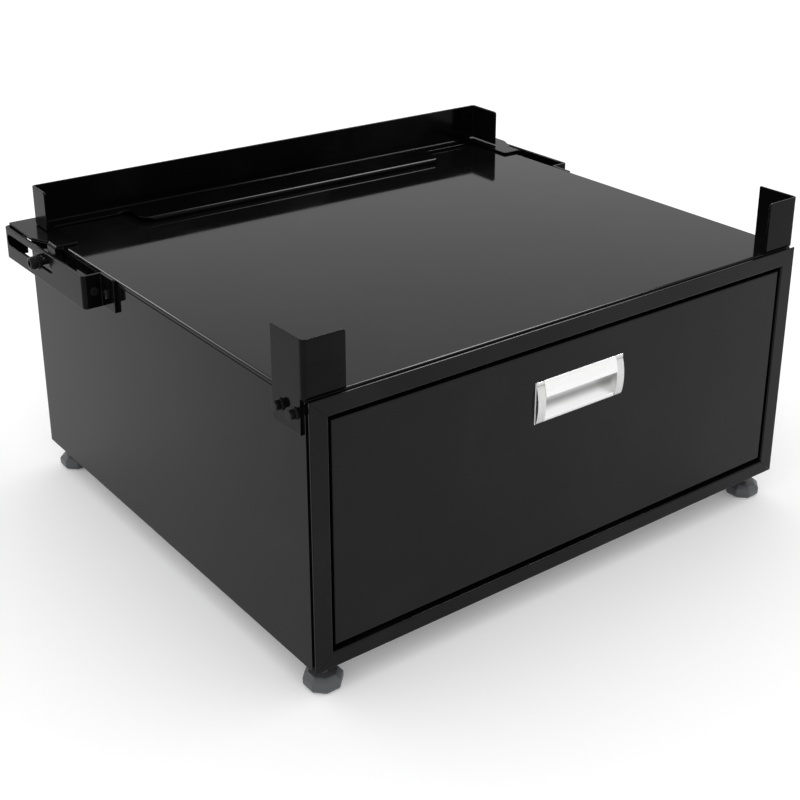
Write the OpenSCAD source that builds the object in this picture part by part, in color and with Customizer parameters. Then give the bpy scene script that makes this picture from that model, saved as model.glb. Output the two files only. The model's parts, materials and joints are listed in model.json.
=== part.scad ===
// Pedestal with a storage drawer that lifts a laundry machine off the floor.
// Millimetres. X runs across the front, Y from the front to the back, Z up.
// The origin lies on the floor, under the middle of the pedestal's outer box.

/* [Cabinet] */
// Width across the side panels
cabinet_w = 686; // [620:1:740]
// Depth from the frame's face to the back of the side panels
cabinet_d = 622; // [610:1:680]
// Height from the bottom edge of the panels to the top panel
cabinet_h = 297; // [290:1:340]
// Thickness of the panels' sheet steel
sheet_t = 1.2; // [0.8:0.1:1.4]
// Height of the top panel's folded edge
top_edge_h = 4; // [3.5:0.5:6]
// Radius of the top panel's rounded edges
top_edge_r = 2.5; // [1.5:0.5:2.5]
// Open seam between the top panel's edge and the side panels
side_seam = 2; // [1:0.5:3]
// Width of the side panels' bottom and rear flanges
panel_flange_w = 12; // [10:1:12]

/* [Front frame] */
// Width of the stiles' faces
stile_w = 21; // [18:0.5:26]
// Width of the top rail's face
top_rail_w = 20; // [16:0.5:24]
// Width of the bottom rail's face
bottom_rail_w = 17.5; // [15:0.5:22]
// Depth of the hollow section
frame_d = 12; // [11:0.5:12]
// Thickness of the face and its lip
frame_lip_t = 2; // [1.5:0.5:3]
// Wall of the hollow section
frame_wall = 1.5; // [1:0.1:2]
// Width of the shadow groove between the lip and the panels
reveal_w = 5; // [3:0.5:6]
// Depth of the shadow groove
reveal_d = 4; // [3:0.5:5]
// Radius of the face's outer edge
frame_outer_r = 1; // [0.5:0.25:1.5]
// Radius of the face's edge round the opening
frame_inner_r = 2; // [1:0.25:2.5]
// Hairline left at the mitred corners
mitre_gap = 0.3; // [0.1:0.1:0.6]

/* [Inner structure] */
// Width of the tubes under the top panel
rail_w = 20; // [18:1:24]
// Height of the tubes under the top panel
rail_h = 30; // [28:1:36]
// Wall of the tubes and channels
tube_t = 1.5; // [1:0.1:2]
// Leg of the rear corner posts
post_w = 25; // [24:1:30]
// Thickness of the rear corner posts
post_t = 2; // [1.5:0.5:3]
// Height of the base pan's edge
pan_h = 16.3; // [14:0.1:18]
// Width of the base rails
base_rail_w = 20; // [16:1:24]
// Height of the base rails
base_rail_h = 25; // [16:1:30]
// Width of the cross members
cross_w = 60; // [40:1:90]
// Height of the cross members
cross_h = 15; // [10:1:20]

/* [Drawer] */
// Gap at each side of the drawer front
front_gap_side = 3.5; // [3:0.5:6]
// Gap above the drawer front
front_gap_top = 5; // [4:0.5:8]
// Gap below the drawer front
front_gap_bottom = 6.5; // [4:0.5:8]
// How far the drawer front sits behind the frame's face
front_recess = 1.5; // [0:0.5:3]
// Depth of the drawer front's folded pan
front_d = 16.5; // [16:0.5:20]
// Radius of the drawer front's edges
front_edge_r = 1.5; // [0.5:0.5:2]
// Distance of the drawer box's upper edge below the opening's
box_drop = 32; // [30:1:70]
// Height of the drawer box above the cabinet's bottom
box_z = 40; // [36:1:46]
// Depth of the drawer box
box_d = 505; // [505:1:540]
// Width of the rolled edge round the drawer box
hem_w = 8; // [6:1:12]
// Height of the rolled edge round the drawer box
hem_h = 8; // [5:1:12]
// Width of the flange that carries the drawer bottom
floor_flange_w = 12; // [8:1:20]

/* [Slides] */
// Length of each slide member
slide_l = 500; // [450:1:500]
// Height of the cabinet member
slide_h = 45; // [44:1:50]
// Thickness of a closed slide
slide_w = 12.7; // [12.5:0.1:14]
// Sheet thickness of the slide members
slide_t = 1.2; // [1:0.1:1.3]
// Height of the slides' middle above the cabinet's bottom
slide_z = 130; // [100:1:170]
// Running clearance between the slide members and their retainers
slide_clear = 0.3; // [0.2:0.05:0.4]
// Room for the screw heads between the cabinet and middle members' webs
web_gap = 1.8; // [1.6:0.1:2.2]
// Step in height from each slide member to the next one inside it
slide_step = 4.5; // [4:0.1:5]
// Length of the retainer strips
retainer_l = 230; // [150:1:240]
// How far the slides start behind the drawer front's liner
slide_setback = 3; // [2:0.5:5]
// How far the slides stand inside the opening's edge
slide_inset = 1; // [0.5:0.5:2]
// Height of the channels that carry the slides
slide_bracket_h = 60; // [54:1:80]

/* [Handle] */
// Width of the handle with its end caps
handle_w = 127.5; // [110:0.5:200]
// Height of the handle
handle_h = 48.5; // [48:0.5:52]
// Distance of the handle's upper edge below the drawer front's
handle_drop = 35.5; // [20:0.5:120]
// Width of each end cap
handle_cap_w = 12; // [11:0.5:16]
// How far the end caps stand out of the drawer front
handle_proud = 7; // [6.5:0.5:10]
// How far the handle's rim stands out of the drawer front
handle_rim = 1; // [0.5:0.25:1.5]
// How far the rim covers the edge of the cut-out
handle_lip = 1.5; // [1:0.25:2.5]
// Depth of the finger cup behind the drawer front's face
cup_d = 14; // [12:0.5:14]
// Wall of the grip and its cup
grip_t = 2; // [1.5:0.25:2.5]
// Height of the cup's mouth above the handle's lower edge
grip_tip_z = 27; // [25:0.5:30]
// How far the grip's tip stands out of the drawer front
grip_proud = 6; // [4:0.5:6]

/* [Front brackets] */
// Thickness of the folded angle
bracket_t = 2.5; // [2:0.5:4]
// Height of the bracket
bracket_h = 98; // [80:1:120]
// How far the bracket stands above the top panel
bracket_above = 59.5; // [50:0.5:80]
// Length of the leg on the side panel
bracket_side_l = 54; // [52:1:70]
// Length of the leg above the front edge
bracket_front_l = 46; // [30:1:60]
// Distance of the bracket behind the frame's face
bracket_y = 5.5; // [3:0.5:6]
// Radius of the bracket's corners and of its bend
bracket_r = 5; // [3:0.5:8]
// Step in the side leg's front edge below the top panel
bracket_step = 2; // [1:0.5:3]
// Height of the bolts above the bracket's lower edge
bracket_bolt_z = 21.5; // [16:0.5:26]
// Distance of the first bolt behind the bracket's front
bracket_bolt_y = 14.5; // [12:0.5:14.5]
// Distance between the two bolts
bracket_bolt_pitch = 24.4; // [18:0.1:30]

/* [Rear arms] */
// Height of the flat bar
arm_h = 40; // [36:1:46]
// Thickness of the flat bar
arm_t = 4; // [3:0.5:5]
// Distance of the bar's outer face from the side panel
arm_reach = 26.5; // [26:0.5:32]
// Length of the outer run
arm_l = 220; // [216:1:260]
// How far the arm stands past the back
arm_overhang = 14; // [10:1:30]
// Length of the flange against the side panel
arm_flange_l = 31; // [24:1:50]
// Radius of the arm's outer bends
arm_r = 5; // [4.5:0.5:8]
// Height of the slot
slot_h = 14; // [12:0.5:18]
// Length of the slot
slot_l = 132; // [128:1:140]
// Distance from the arm's rear end to the slot
slot_margin = 7; // [6:0.5:12]
// Height of the slot and the clamp bolt below the top panel
slot_drop = 15; // [15:0.5:18]
// Height of the arm's fasteners below the top panel
arm_bolt_drop = 20; // [18:0.5:24]
// Distance of the arm's bolt in front of its outer run
arm_bolt_y = 16; // [10:0.5:22]
// Distance of the arm's small screw from the side panel
arm_screw_x = 12.8; // [10:0.1:15]

/* [Rear stop] */
// Distance of the end flanges inside the side panels' outer faces
stop_inset = 1; // [1:0.5:10]
// Thickness of the folded sheet
stop_t = 3; // [2:0.5:4]
// Height of the wall above the top panel
stop_h = 52.5; // [40:0.5:80]
// Distance of the wall's rear face in front of the cabinet's back
stop_setback = 20; // [14:1:40]
// Depth of the left end flange from the wall's rear face
stop_left_l = 39; // [25:1:60]
// Depth of the right end flange from the wall's rear face
stop_right_l = 54; // [25:1:60]
// Height of the end flanges' lower edge above the top panel
stop_flange_gap = 4.5; // [4:0.5:8]
// Depth of the base flange from the wall's rear face
stop_base_l = 23; // [18:1:30]
// Running clearance between the stop and what it slides on
stop_clear = 0.3; // [0.2:0.1:0.6]
// Running clearance between the clamp bolts' spacers and the arms
clamp_clear = 0.8; // [0.7:0.1:1.2]
// Angle by which the stop stands askew, its right end nearer the front
stop_turn = 1.6; // [0:0.2:2]
// Radius of the stop's bends and corners
stop_r = 4; // [3.5:0.5:6]
// Distance of the raised shelf's ends inside the side panels' outer faces
shelf_inset = 113; // [60:1:200]
// Depth of the raised shelf from the wall's rear face
shelf_l = 71; // [50:1:90]
// Height of the shelf's upper face above the top panel
shelf_h = 7; // [6.5:0.5:12]
// Radius of the curved ends of the shelf
shelf_r = 13; // [8:1:20]
// Distance of the foot plates' front edge in front of the wall's rear face
plate_l = 94; // [85:1:96]
// Distance of the foot plates' rear edge behind the wall's rear face
plate_back = 22; // [4:1:24]
// How far the foot plates reach in over the top panel
plate_in = 17; // [14:1:30]
// How far the foot plates reach out over the arms
plate_out = 12.5; // [12:0.5:13.5]
// Length of the ear that hangs inside the arm
ear_l = 24; // [22:1:30]
// Drop of the ear below the top panel
ear_drop = 35; // [28:1:38]

/* [Feet] */
// Height of the cabinet above the floor
foot_h = 34; // [32:1:45]
// Width across the flats of the foot's pad
pad_w = 39; // [30:1:42]
// Height of the pad
pad_h = 17; // [12:1:17]
// Width of the bevel round the pad's shoulder
pad_bevel = 5; // [2:0.5:7]
// Distance of the foot's middle from the panels' outer faces
foot_inset = 23; // [23:0.5:26]
// Radius of the threaded stud
stud_r = 5; // [4:0.5:6]
// Length of the stud above the pad
stud_l = 34; // [31:1:34]
// Radial clearance of the stud in its nuts
stud_clear = 0.1; // [0.05:0.01:0.15]
// Width of the square foot plates inside the base pan
foot_plate_w = 55; // [50:1:70]
// Thickness of the foot plates
foot_plate_t = 4; // [3:0.5:6]
// Width across the flats of the foot's nuts
foot_nut_af = 17; // [16:0.5:19]
// Height of the weld nut on each foot plate
foot_weld_nut_h = 7; // [5:0.5:9]
// Height of the lock nut below the base pan
foot_lock_nut_h = 6; // [4:0.5:8]

/* [Fasteners] */
// Radial clearance of a fastener in its hole
hole_clear = 0.1; // [0.05:0.05:0.3]
// Radius of the front brackets' bolts
bracket_bolt_r = 3; // [2.5:0.5:3]
// Radius of the arms' bolts
arm_bolt_r = 4; // [3:0.5:5]
// Radius of the arms' small screws
arm_screw_r = 2.5; // [2:0.5:3]
// Radius of the clamp bolts
clamp_r = 5; // [4:0.5:5.5]
// Radius of the clamp bolts' heads
clamp_head_r = 8; // [7:0.5:10]
// Height of the clamp bolts' heads
clamp_head_h = 8.5; // [8:0.5:14]
// Width across the flats of the clamp bolts' hex spacers and nuts
clamp_af = 17; // [15:0.5:19]
// Thickness of the hex spacers
clamp_spacer_h = 5; // [5:0.5:10]
// Thickness of the inner nuts
clamp_nut_h = 7; // [5:0.5:7.5]
// Radius of the slide and handle screws
screw_r = 2; // [1.5:0.25:2.5]

/* [Hidden] */

$fn = 64;
LEFT = 0;
RIGHT = 1;
SIDES = [LEFT, RIGHT];

gloss_black = [0.10, 0.10, 0.11];
frame_black = [0.14, 0.14, 0.15];
satin_black = [0.06, 0.06, 0.07];
zinc = [0.66, 0.67, 0.70];
satin_metal = [0.88, 0.88, 0.87];
foot_grey = [0.48, 0.50, 0.56];
white_nylon = [0.85, 0.85, 0.82];

// Proportions of the fasteners, as multiples of their radius
nut_af_share = 3.3;
nut_h_share = 1.6;
tail_share = 2.4;
washer_r_share = 2.15;
washer_h_share = 0.8;
flange_r_share = 1.95;
flange_h_share = 0.5;
hex_head_h_share = 2.5;
cap_r_share = 1.3;
cap_h_share = 1.2;
button_r_share = 2;
button_h_share = 0.6;

// Planes of the shell, measured from the cabinet's middle, front face and bottom
half_w = cabinet_w / 2;
inner_x = half_w - sheet_t;
panel_y = frame_lip_t + reveal_w;
back_y = cabinet_d - sheet_t;
inner_y = back_y - sheet_t;
side_top_z = cabinet_h - top_edge_h - side_seam;
rail_top_z = cabinet_h - sheet_t;
rail_z = rail_top_z - rail_h;
pan_z = 2 * sheet_t;
pan_x = inner_x - sheet_t;
pan_front_y = frame_d + sheet_t;
pan_rear_y = inner_y - sheet_t;

// Opening of the frame and the drawer front inside it
open_x = half_w - stile_w;
open_top_z = cabinet_h - top_rail_w;
front_x = open_x - front_gap_side;
front_z = bottom_rail_w + front_gap_bottom;
front_h = open_top_z - front_gap_top - front_z;
liner_y = front_recess + front_d;
handle_z = front_h - handle_drop - handle_h;

// Drawer box and slides
slide_x = open_x - slide_inset;
box_x = slide_x - slide_w;
box_y = liner_y + sheet_t;
box_floor_z = box_z + 2 * sheet_t;
box_h = open_top_z - box_drop - box_z;
slide_y = box_y + slide_setback;
slide_screw_ys = [for (share = [0.08, 0.5, 0.92]) slide_y + share * slide_l];
slide_screw_l = 5;
slide_screw_head_r = 3.6;
slide_screw_head_h = 1.2;
middle_x = slide_x - slide_t - web_gap;

// Handle, from the drawer front's face and the handle's lower edge
handle_inner_x = handle_w / 2 - handle_lip;
handle_fit = 0.2;
plug_overlap = 0.5;
grip_x = handle_w / 2 - handle_cap_w;
handle_screw_x = handle_w / 2 - handle_cap_w / 2 - handle_lip / 2;
handle_screw_l = 9;

// Rear arms
arm_end_y = cabinet_d + arm_overhang;
arm_y = arm_end_y - arm_l;
arm_z = cabinet_h - arm_h;
arm_bolt_z = cabinet_h - arm_bolt_drop;
slot_y = arm_end_y - slot_margin - slot_l;
slot_z = cabinet_h - slot_drop;

// Rear stop
stop_w = cabinet_w - 2 * stop_inset;
shelf_w = cabinet_w - 2 * shelf_inset;
stop_y = cabinet_d - stop_setback;
stop_z = cabinet_h + stop_clear;
plate_y = stop_y - plate_l;
clamp_y = plate_y + ear_l / 2;
ear_x = half_w + plate_out;
ear_bend_r = stop_t - 0.5;

// Front brackets
bracket_z = cabinet_h + bracket_above - bracket_h;
bracket_bolt_ys = [bracket_y + bracket_bolt_y, bracket_y + bracket_bolt_y + bracket_bolt_pitch];
bracket_bolt_height = bracket_z + bracket_bolt_z;
bracket_bend_r = bracket_r / 2;

// Feet
foot_x = half_w - foot_inset;
foot_ys = [foot_inset, cabinet_d - foot_inset];
foot_plate_ys = [pan_front_y, pan_rear_y - foot_plate_w];

// Screws in the back
back_screw_x = half_w - panel_flange_w / 2;
back_screw_zs = [for (share = [0.12, 0.38, 0.64, 0.86]) share * cabinet_h];
back_screw_l = 8;

// The handle's front and the arms' rear ends give the middle of the outer box
mid_y = (arm_end_y + front_recess - handle_proud) / 2;

module placed() {
    translate([0, -mid_y, foot_h]) children();
}

// Left pieces are drawn at negative x, and the right ones are their mirror image
module on_side(side) {
    if (side == RIGHT) mirror([1, 0, 0]) children();
    else children();
}

// A profile in Y and Z, pulled along X about the middle
module along_x(length) {
    rotate([90, 0, 90]) linear_extrude(length, center = true) children();
}

// A profile in X and Z, pulled along Y
module along_y(y, length) {
    translate([0, y + length, 0]) rotate([90, 0, 0]) linear_extrude(length) children();
}

// What a rounded corner at the origin takes off material in +x and +y
module corner_loss(r) {
    difference() {
        translate([-1, -1]) square(r + 1);
        translate([r, r]) circle(r);
    }
}

// A piece drawn along Z with its seat at the origin, turned to face left, forward or back
module facing_left(x, y, z) {
    translate([x, y, z]) rotate([0, -90, 0]) children();
}

module facing_front(x, y, z) {
    translate([x, y, z]) rotate([90, 0, 0]) children();
}

module facing_back(x, y, z) {
    translate([x, y, z]) rotate([-90, 0, 0]) children();
}

module shank(r, length) {
    translate([0, 0, -length]) cylinder(r = r, h = length);
}

module drill(r, depth) {
    translate([0, 0, -depth]) cylinder(r = r + hole_clear, h = depth + 1);
}

module hex(across_flats, height) {
    cylinder(d = across_flats / cos(30), h = height, $fn = 6);
}

module nut(across_flats, height, bore_r) {
    difference() {
        hex(across_flats, height);
        translate([0, 0, -1]) cylinder(r = bore_r, h = height + 2);
    }
}

module pan_head(r, height) {
    edge = min(height, r) / 2;
    rotate_extrude() difference() {
        square([r, height]);
        translate([r, height]) mirror([1, 0]) mirror([0, 1]) corner_loss(edge);
    }
}

// ---- Front frame ----

// Hollow section with its lip: x is the depth, y runs inwards from the outer edge
module frame_section(width) {
    difference() {
        union() {
            square([frame_lip_t, width]);
            translate([0, reveal_d]) square([frame_d, width - reveal_d]);
        }
        translate([frame_lip_t, reveal_d + frame_wall])
            square([frame_d - frame_lip_t - frame_wall, width - reveal_d - 2 * frame_wall]);
        corner_loss(frame_outer_r);
        translate([0, width]) mirror([0, 1]) corner_loss(frame_inner_r);
    }
}

module frame_rail(width) {
    intersection() {
        along_x(cabinet_w) frame_section(width);
        along_y(-1, frame_d + 2)
            polygon([[-half_w, 0], [half_w, 0], [open_x, width], [-open_x, width]]);
    }
}

module frame_stile() {
    low = [mitre_gap, bottom_rail_w + mitre_gap];
    high = [cabinet_h - mitre_gap, open_top_z - mitre_gap];
    intersection() {
        translate([-half_w, 0, 0]) linear_extrude(cabinet_h) mirror([1, -1]) frame_section(stile_w);
        along_y(-1, frame_d + 2)
            polygon([[-half_w, low[0]], [-open_x, low[1]], [-open_x, high[1]], [-half_w, high[0]]]);
    }
}

module frame_bottom_rail() {
    color(frame_black) placed() frame_rail(bottom_rail_w);
}

module frame_top_rail() {
    color(frame_black) placed() translate([0, 0, cabinet_h]) mirror([0, 0, 1]) frame_rail(top_rail_w);
}

module frame_stile_at(side) {
    color(frame_black) placed() on_side(side) frame_stile();
}

// ---- Shell ----

module top_panel() {
    length = cabinet_d - panel_y;
    color(gloss_black) placed() difference() {
        translate([-half_w, panel_y, cabinet_h - top_edge_h]) cube([cabinet_w, length, top_edge_h]);
        translate([-inner_x, panel_y + sheet_t, cabinet_h - top_edge_h - 1])
            cube([2 * inner_x, length - 2 * sheet_t, top_edge_h - sheet_t + 1]);
        for (side = SIDES)
            on_side(side) along_y(panel_y - 1, length + 2)
                translate([-half_w, cabinet_h]) mirror([0, 1]) corner_loss(top_edge_r);
        along_x(cabinet_w + 2) {
            translate([panel_y, cabinet_h]) mirror([0, 1]) corner_loss(top_edge_r);
            translate([cabinet_d, cabinet_h]) rotate(180) corner_loss(top_edge_r);
        }
    }
}

// Holes through the side for the front bracket's and the arm's bolts
module side_holes(x, depth) {
    for (y = bracket_bolt_ys)
        facing_left(x, y, bracket_bolt_height) drill(bracket_bolt_r, depth);
    facing_left(x, arm_y - arm_bolt_y, arm_bolt_z) drill(arm_bolt_r, depth);
}

module side_panel(side) {
    length = cabinet_d - panel_y;
    color(gloss_black) placed() on_side(side) difference() {
        union() {
            translate([-half_w, panel_y, 0]) cube([sheet_t, length, side_top_z]);
            translate([-half_w, panel_y, 0]) cube([reveal_d, sheet_t, side_top_z]);
            translate([-half_w, back_y, 0]) cube([panel_flange_w, sheet_t, side_top_z]);
            translate([-half_w, panel_y, 0]) cube([panel_flange_w, length, sheet_t]);
        }
        side_holes(-half_w, sheet_t + 1);
        for (z = back_screw_zs)
            facing_back(-back_screw_x, cabinet_d, z) drill(screw_r, sheet_t + 1);
        linear_extrude(side_top_z + 1)
            translate([-half_w, cabinet_d]) mirror([0, 1]) corner_loss(sheet_t);
    }
}

module back_panel() {
    color(satin_black) placed() difference() {
        translate([-inner_x, inner_y, sheet_t]) cube([2 * inner_x, sheet_t, rail_top_z - sheet_t]);
        for (side = SIDES, z = back_screw_zs)
            on_side(side) facing_back(-back_screw_x, back_y, z) drill(screw_r, sheet_t + 1);
    }
}

module base_pan() {
    color(satin_black) placed() difference() {
        translate([-inner_x, frame_d, sheet_t]) cube([2 * inner_x, inner_y - frame_d, pan_h]);
        translate([-pan_x, pan_front_y, pan_z]) cube([2 * pan_x, pan_rear_y - pan_front_y, pan_h]);
        for (side = SIDES, y = foot_ys)
            on_side(side) translate([-foot_x, y, pan_z]) drill(stud_r + 1, 2 * sheet_t);
    }
}

module back_screws() {
    color(zinc) placed() for (side = SIDES, z = back_screw_zs)
        on_side(side) facing_back(-back_screw_x, cabinet_d, z) {
            pan_head(button_r_share * screw_r, screw_r);
            shank(screw_r, back_screw_l);
        }
}

// ---- Inner structure ----

module tube_section(width, height) {
    difference() {
        square([width, height]);
        translate([tube_t, tube_t]) square([width - 2 * tube_t, height - 2 * tube_t]);
    }
}

module top_rail(side) {
    color(satin_black) placed() on_side(side) difference() {
        along_y(frame_d, inner_y - frame_d) translate([-inner_x, rail_z]) tube_section(rail_w, rail_h);
        side_holes(-inner_x, tube_t + 1);
    }
}

module top_rail_rear() {
    color(satin_black) placed()
        along_x(2 * (inner_x - rail_w)) translate([inner_y - rail_w, rail_z]) tube_section(rail_w, rail_h);
}

// An inverted channel that carries the top panel between the side rails
module cross_member(share) {
    y = frame_d + share * (inner_y - rail_w - frame_d) - cross_w / 2;
    color(satin_black) placed() along_x(2 * (inner_x - rail_w)) difference() {
        translate([y, rail_top_z - cross_h]) square([cross_w, cross_h]);
        translate([y + tube_t, rail_top_z - cross_h - 1]) square([cross_w - 2 * tube_t, cross_h - tube_t + 1]);
    }
}

module rear_post(side) {
    z = pan_z + foot_plate_t;
    color(satin_black) placed() on_side(side) difference() {
        translate([-pan_x, pan_rear_y - post_w, z]) cube([post_w, post_w, rail_z - z]);
        translate([post_t - pan_x, pan_rear_y - post_w - 1, z - 1])
            cube([post_w, post_w - post_t + 1, rail_z - z + 2]);
        for (height = back_screw_zs)
            facing_back(-back_screw_x, pan_rear_y, height) drill(screw_r, back_screw_l);
    }
}

module base_rail(side) {
    y = foot_plate_ys[0] + foot_plate_w;
    color(satin_black) placed() on_side(side)
        along_y(y, foot_plate_ys[1] - y) translate([-pan_x, pan_z]) tube_section(base_rail_w, base_rail_h);
}

// Threaded plates with a weld nut, one over each foot
module foot_plates() {
    color(satin_black) placed() for (side = SIDES, i = [0, 1])
        on_side(side) difference() {
            union() {
                translate([-pan_x, foot_plate_ys[i], pan_z])
                    cube([foot_plate_w, foot_plate_w, foot_plate_t]);
                translate([-foot_x, foot_ys[i], pan_z]) hex(foot_nut_af, foot_plate_t + foot_weld_nut_h);
            }
            translate([-foot_x, foot_ys[i], 0])
                cylinder(r = stud_r + stud_clear, h = 2 * pan_z + foot_plate_t + foot_weld_nut_h);
        }
}

// Nuts inside the top rails for the front brackets' and the arms' bolts
module weld_nuts() {
    x = tube_t - inner_x;
    color(zinc) placed() for (side = SIDES)
        on_side(side) {
            for (y = bracket_bolt_ys)
                translate([x, y, bracket_bolt_height]) rotate([0, 90, 0]) bolt_nut(bracket_bolt_r);
            translate([x, arm_y - arm_bolt_y, arm_bolt_z]) rotate([0, 90, 0]) bolt_nut(arm_bolt_r);
        }
}

// A nut in the usual proportions for its bolt
module bolt_nut(bolt_r) {
    nut(nut_af_share * bolt_r, nut_h_share * bolt_r, bolt_r + hole_clear);
}

// ---- Slides ----

module slide_bracket(side) {
    color(satin_black) placed() on_side(side) difference() {
        along_y(frame_d, pan_rear_y - post_w - frame_d) translate([0, slide_z - slide_bracket_h / 2])
            difference() {
                translate([-inner_x, 0]) square([inner_x - slide_x, slide_bracket_h]);
                translate([-inner_x - 1, tube_t])
                    square([inner_x - slide_x - tube_t + 1, slide_bracket_h - 2 * tube_t]);
            }
        slide_holes(-slide_x - tube_t, tube_t);
    }
}

// Half height of a member: 0 is the cabinet's, 1 the middle one, 2 the drawer's
function slide_half(level) = slide_h / 2 - level * slide_step;

// C section whose web is at x and whose flanges run to the right
module slide_section(x, depth, half) {
    translate([x, slide_z]) difference() {
        translate([0, -half]) square([depth, 2 * half]);
        translate([slide_t, slide_t - half]) square([depth, 2 * (half - slide_t)]);
    }
}

module cabinet_slide(side) {
    lip = 2 * slide_t;
    depth = slide_w - slide_t - slide_clear;
    half = slide_half(0);
    color(zinc) placed() on_side(side) difference() {
        along_y(slide_y, slide_l) {
            slide_section(-slide_x, depth, half);
            for (z = [slide_z - half, slide_z + half - lip])
                translate([depth - slide_x - slide_t, z]) square([slide_t, lip]);
        }
        slide_holes(-slide_x, slide_t);
    }
}

// Holes for the slides' screws through a sheet that lies between x and x + thickness
module slide_holes(x, thickness) {
    for (y = slide_screw_ys)
        translate([x - 0.5, y, slide_z]) rotate([0, 90, 0])
            cylinder(r = screw_r + hole_clear, h = thickness + 1);
}

module middle_slide(side) {
    depth = middle_x - box_x - 3 * slide_clear;
    color(zinc) placed() on_side(side)
        along_y(slide_y, slide_l) slide_section(-middle_x, depth, slide_half(1));
}

module drawer_slide(side) {
    depth = middle_x - slide_t - box_x - 2 * slide_clear;
    color(zinc) placed() on_side(side) difference() {
        along_y(slide_y, slide_l) mirror([1, 0]) slide_section(box_x, depth, slide_half(2));
        slide_holes(-box_x - slide_t, slide_t);
    }
}

// Strips that keep the bearing balls in their races
module slide_retainers(side) {
    height = slide_step - slide_t - 2 * slide_clear;
    x = slide_t + slide_clear - middle_x;
    width = middle_x - box_x - 3 * slide_t - 3 * slide_clear;
    y = slide_y + (slide_l - retainer_l) / 2;
    color(white_nylon) placed() on_side(side)
        for (level = [1, 2], up = [0, 1]) {
            z = slide_half(level) + slide_clear;
            translate([x, y, slide_z + (up == 1 ? z : -z - height)]) cube([width, retainer_l, height]);
        }
}

module cabinet_slide_screws() {
    color(zinc) placed() for (side = SIDES, y = slide_screw_ys)
        on_side(side) translate([slide_t - slide_x, y, slide_z]) rotate([0, 90, 0]) {
            cylinder(r = slide_screw_head_r, h = slide_screw_head_h);
            shank(screw_r, slide_screw_l);
        }
}

module drawer_slide_screws() {
    color(zinc) placed() for (side = SIDES, y = slide_screw_ys)
        on_side(side) facing_left(-box_x - slide_t, y, slide_z) {
            cylinder(r = slide_screw_head_r, h = slide_screw_head_h);
            shank(screw_r, slide_screw_l);
        }
}

// ---- Drawer ----

// The hole in the drawer front that the handle drops into
module handle_cutout(depth) {
    along_y(front_recess - 1, depth) translate([-handle_inner_x, front_z + handle_z + handle_lip])
        square([2 * handle_inner_x, handle_h - 2 * handle_lip]);
}

module drawer_front() {
    color(gloss_black) placed() difference() {
        translate([-front_x, front_recess, front_z]) cube([2 * front_x, front_d, front_h]);
        translate([sheet_t - front_x, front_recess + sheet_t, front_z + sheet_t])
            cube([2 * (front_x - sheet_t), front_d, front_h - 2 * sheet_t]);
        for (side = SIDES)
            on_side(side) linear_extrude(front_z + front_h + 1)
                translate([-front_x, front_recess]) corner_loss(front_edge_r);
        along_x(2 * front_x + 2) {
            translate([front_recess, front_z]) corner_loss(front_edge_r);
            translate([front_recess, front_z + front_h]) mirror([0, 1]) corner_loss(front_edge_r);
        }
        handle_cutout(sheet_t + 2);
    }
}

module drawer_liner() {
    color(satin_black) placed() difference() {
        translate([-front_x, liner_y, front_z]) cube([2 * front_x, sheet_t, front_h]);
        for (side = SIDES)
            on_side(side) facing_back(-handle_screw_x, box_y, front_z + handle_z + handle_h / 2)
                drill(screw_r, sheet_t + 1);
    }
}

module drawer_side(side) {
    color(satin_black) placed() on_side(side) difference() {
        along_y(box_y, box_d) translate([-box_x, box_z]) {
            square([sheet_t, box_h]);
            square([floor_flange_w, sheet_t]);
            translate([0, box_h - sheet_t]) square([hem_w, sheet_t]);
            translate([hem_w - sheet_t, box_h - hem_h]) square([sheet_t, hem_h]);
        }
        slide_holes(-box_x, sheet_t);
    }
}

module drawer_back() {
    plate_x = box_x - sheet_t;
    hem_x = box_x - hem_w;
    rear_y = box_y + box_d;
    top_z = box_z + box_h;
    color(satin_black) placed() {
        translate([-plate_x, rear_y - sheet_t, box_floor_z])
            cube([2 * plate_x, sheet_t, box_h - hem_h - 2 * sheet_t]);
        translate([-hem_x, rear_y - sheet_t, box_floor_z])
            cube([2 * hem_x, sheet_t, top_z - box_floor_z]);
        translate([-hem_x, rear_y - hem_w, top_z - sheet_t]) cube([2 * hem_x, hem_w, sheet_t]);
        translate([-hem_x, rear_y - hem_w, top_z - hem_h]) cube([2 * hem_x, sheet_t, hem_h]);
    }
}

module drawer_bottom() {
    color(satin_black) placed() translate([sheet_t - box_x, box_y, box_z + sheet_t])
        cube([2 * (box_x - sheet_t), box_d, sheet_t]);
}

// ---- Handle ----

// Handle coordinates: x is the depth behind the drawer front's face, y the height above its lower edge
module handle_profile_space() {
    translate([front_recess, front_z + handle_z]) children();
}

// Points on an arc about a centre, from one angle to another
function arc(x, y, r, from, to, steps = 16) =
    [for (i = [0 : steps]) let (a = from + (to - from) * i / steps) [x + r * cos(a), y + r * sin(a)]];

// Upper rim, web, back and curved floor of the cup, lower rim and the sloping grip plate
module grip_profile() {
    low = handle_lip + handle_fit;
    high = handle_h - low;
    curve = cup_d + handle_rim;
    tip_r = grip_t / 2;
    polygon(concat(
        [[-handle_rim, handle_h], [0, handle_h], [0, high], [cup_d, high]],
        arc(-handle_rim, low + curve, curve, 0, -acos(handle_rim / curve)),
        [[0, 0], [-handle_rim, 0]],
        arc(-handle_rim, low + curve, curve - grip_t, -90, 0),
        [[cup_d - grip_t, high - grip_t], [0, high - grip_t]],
        arc(tip_r - grip_proud, grip_tip_z + tip_r, tip_r, 0, -180)
    ));
}

module handle_grip() {
    color(satin_metal) placed() along_x(2 * grip_x) handle_profile_space() grip_profile();
}

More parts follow.
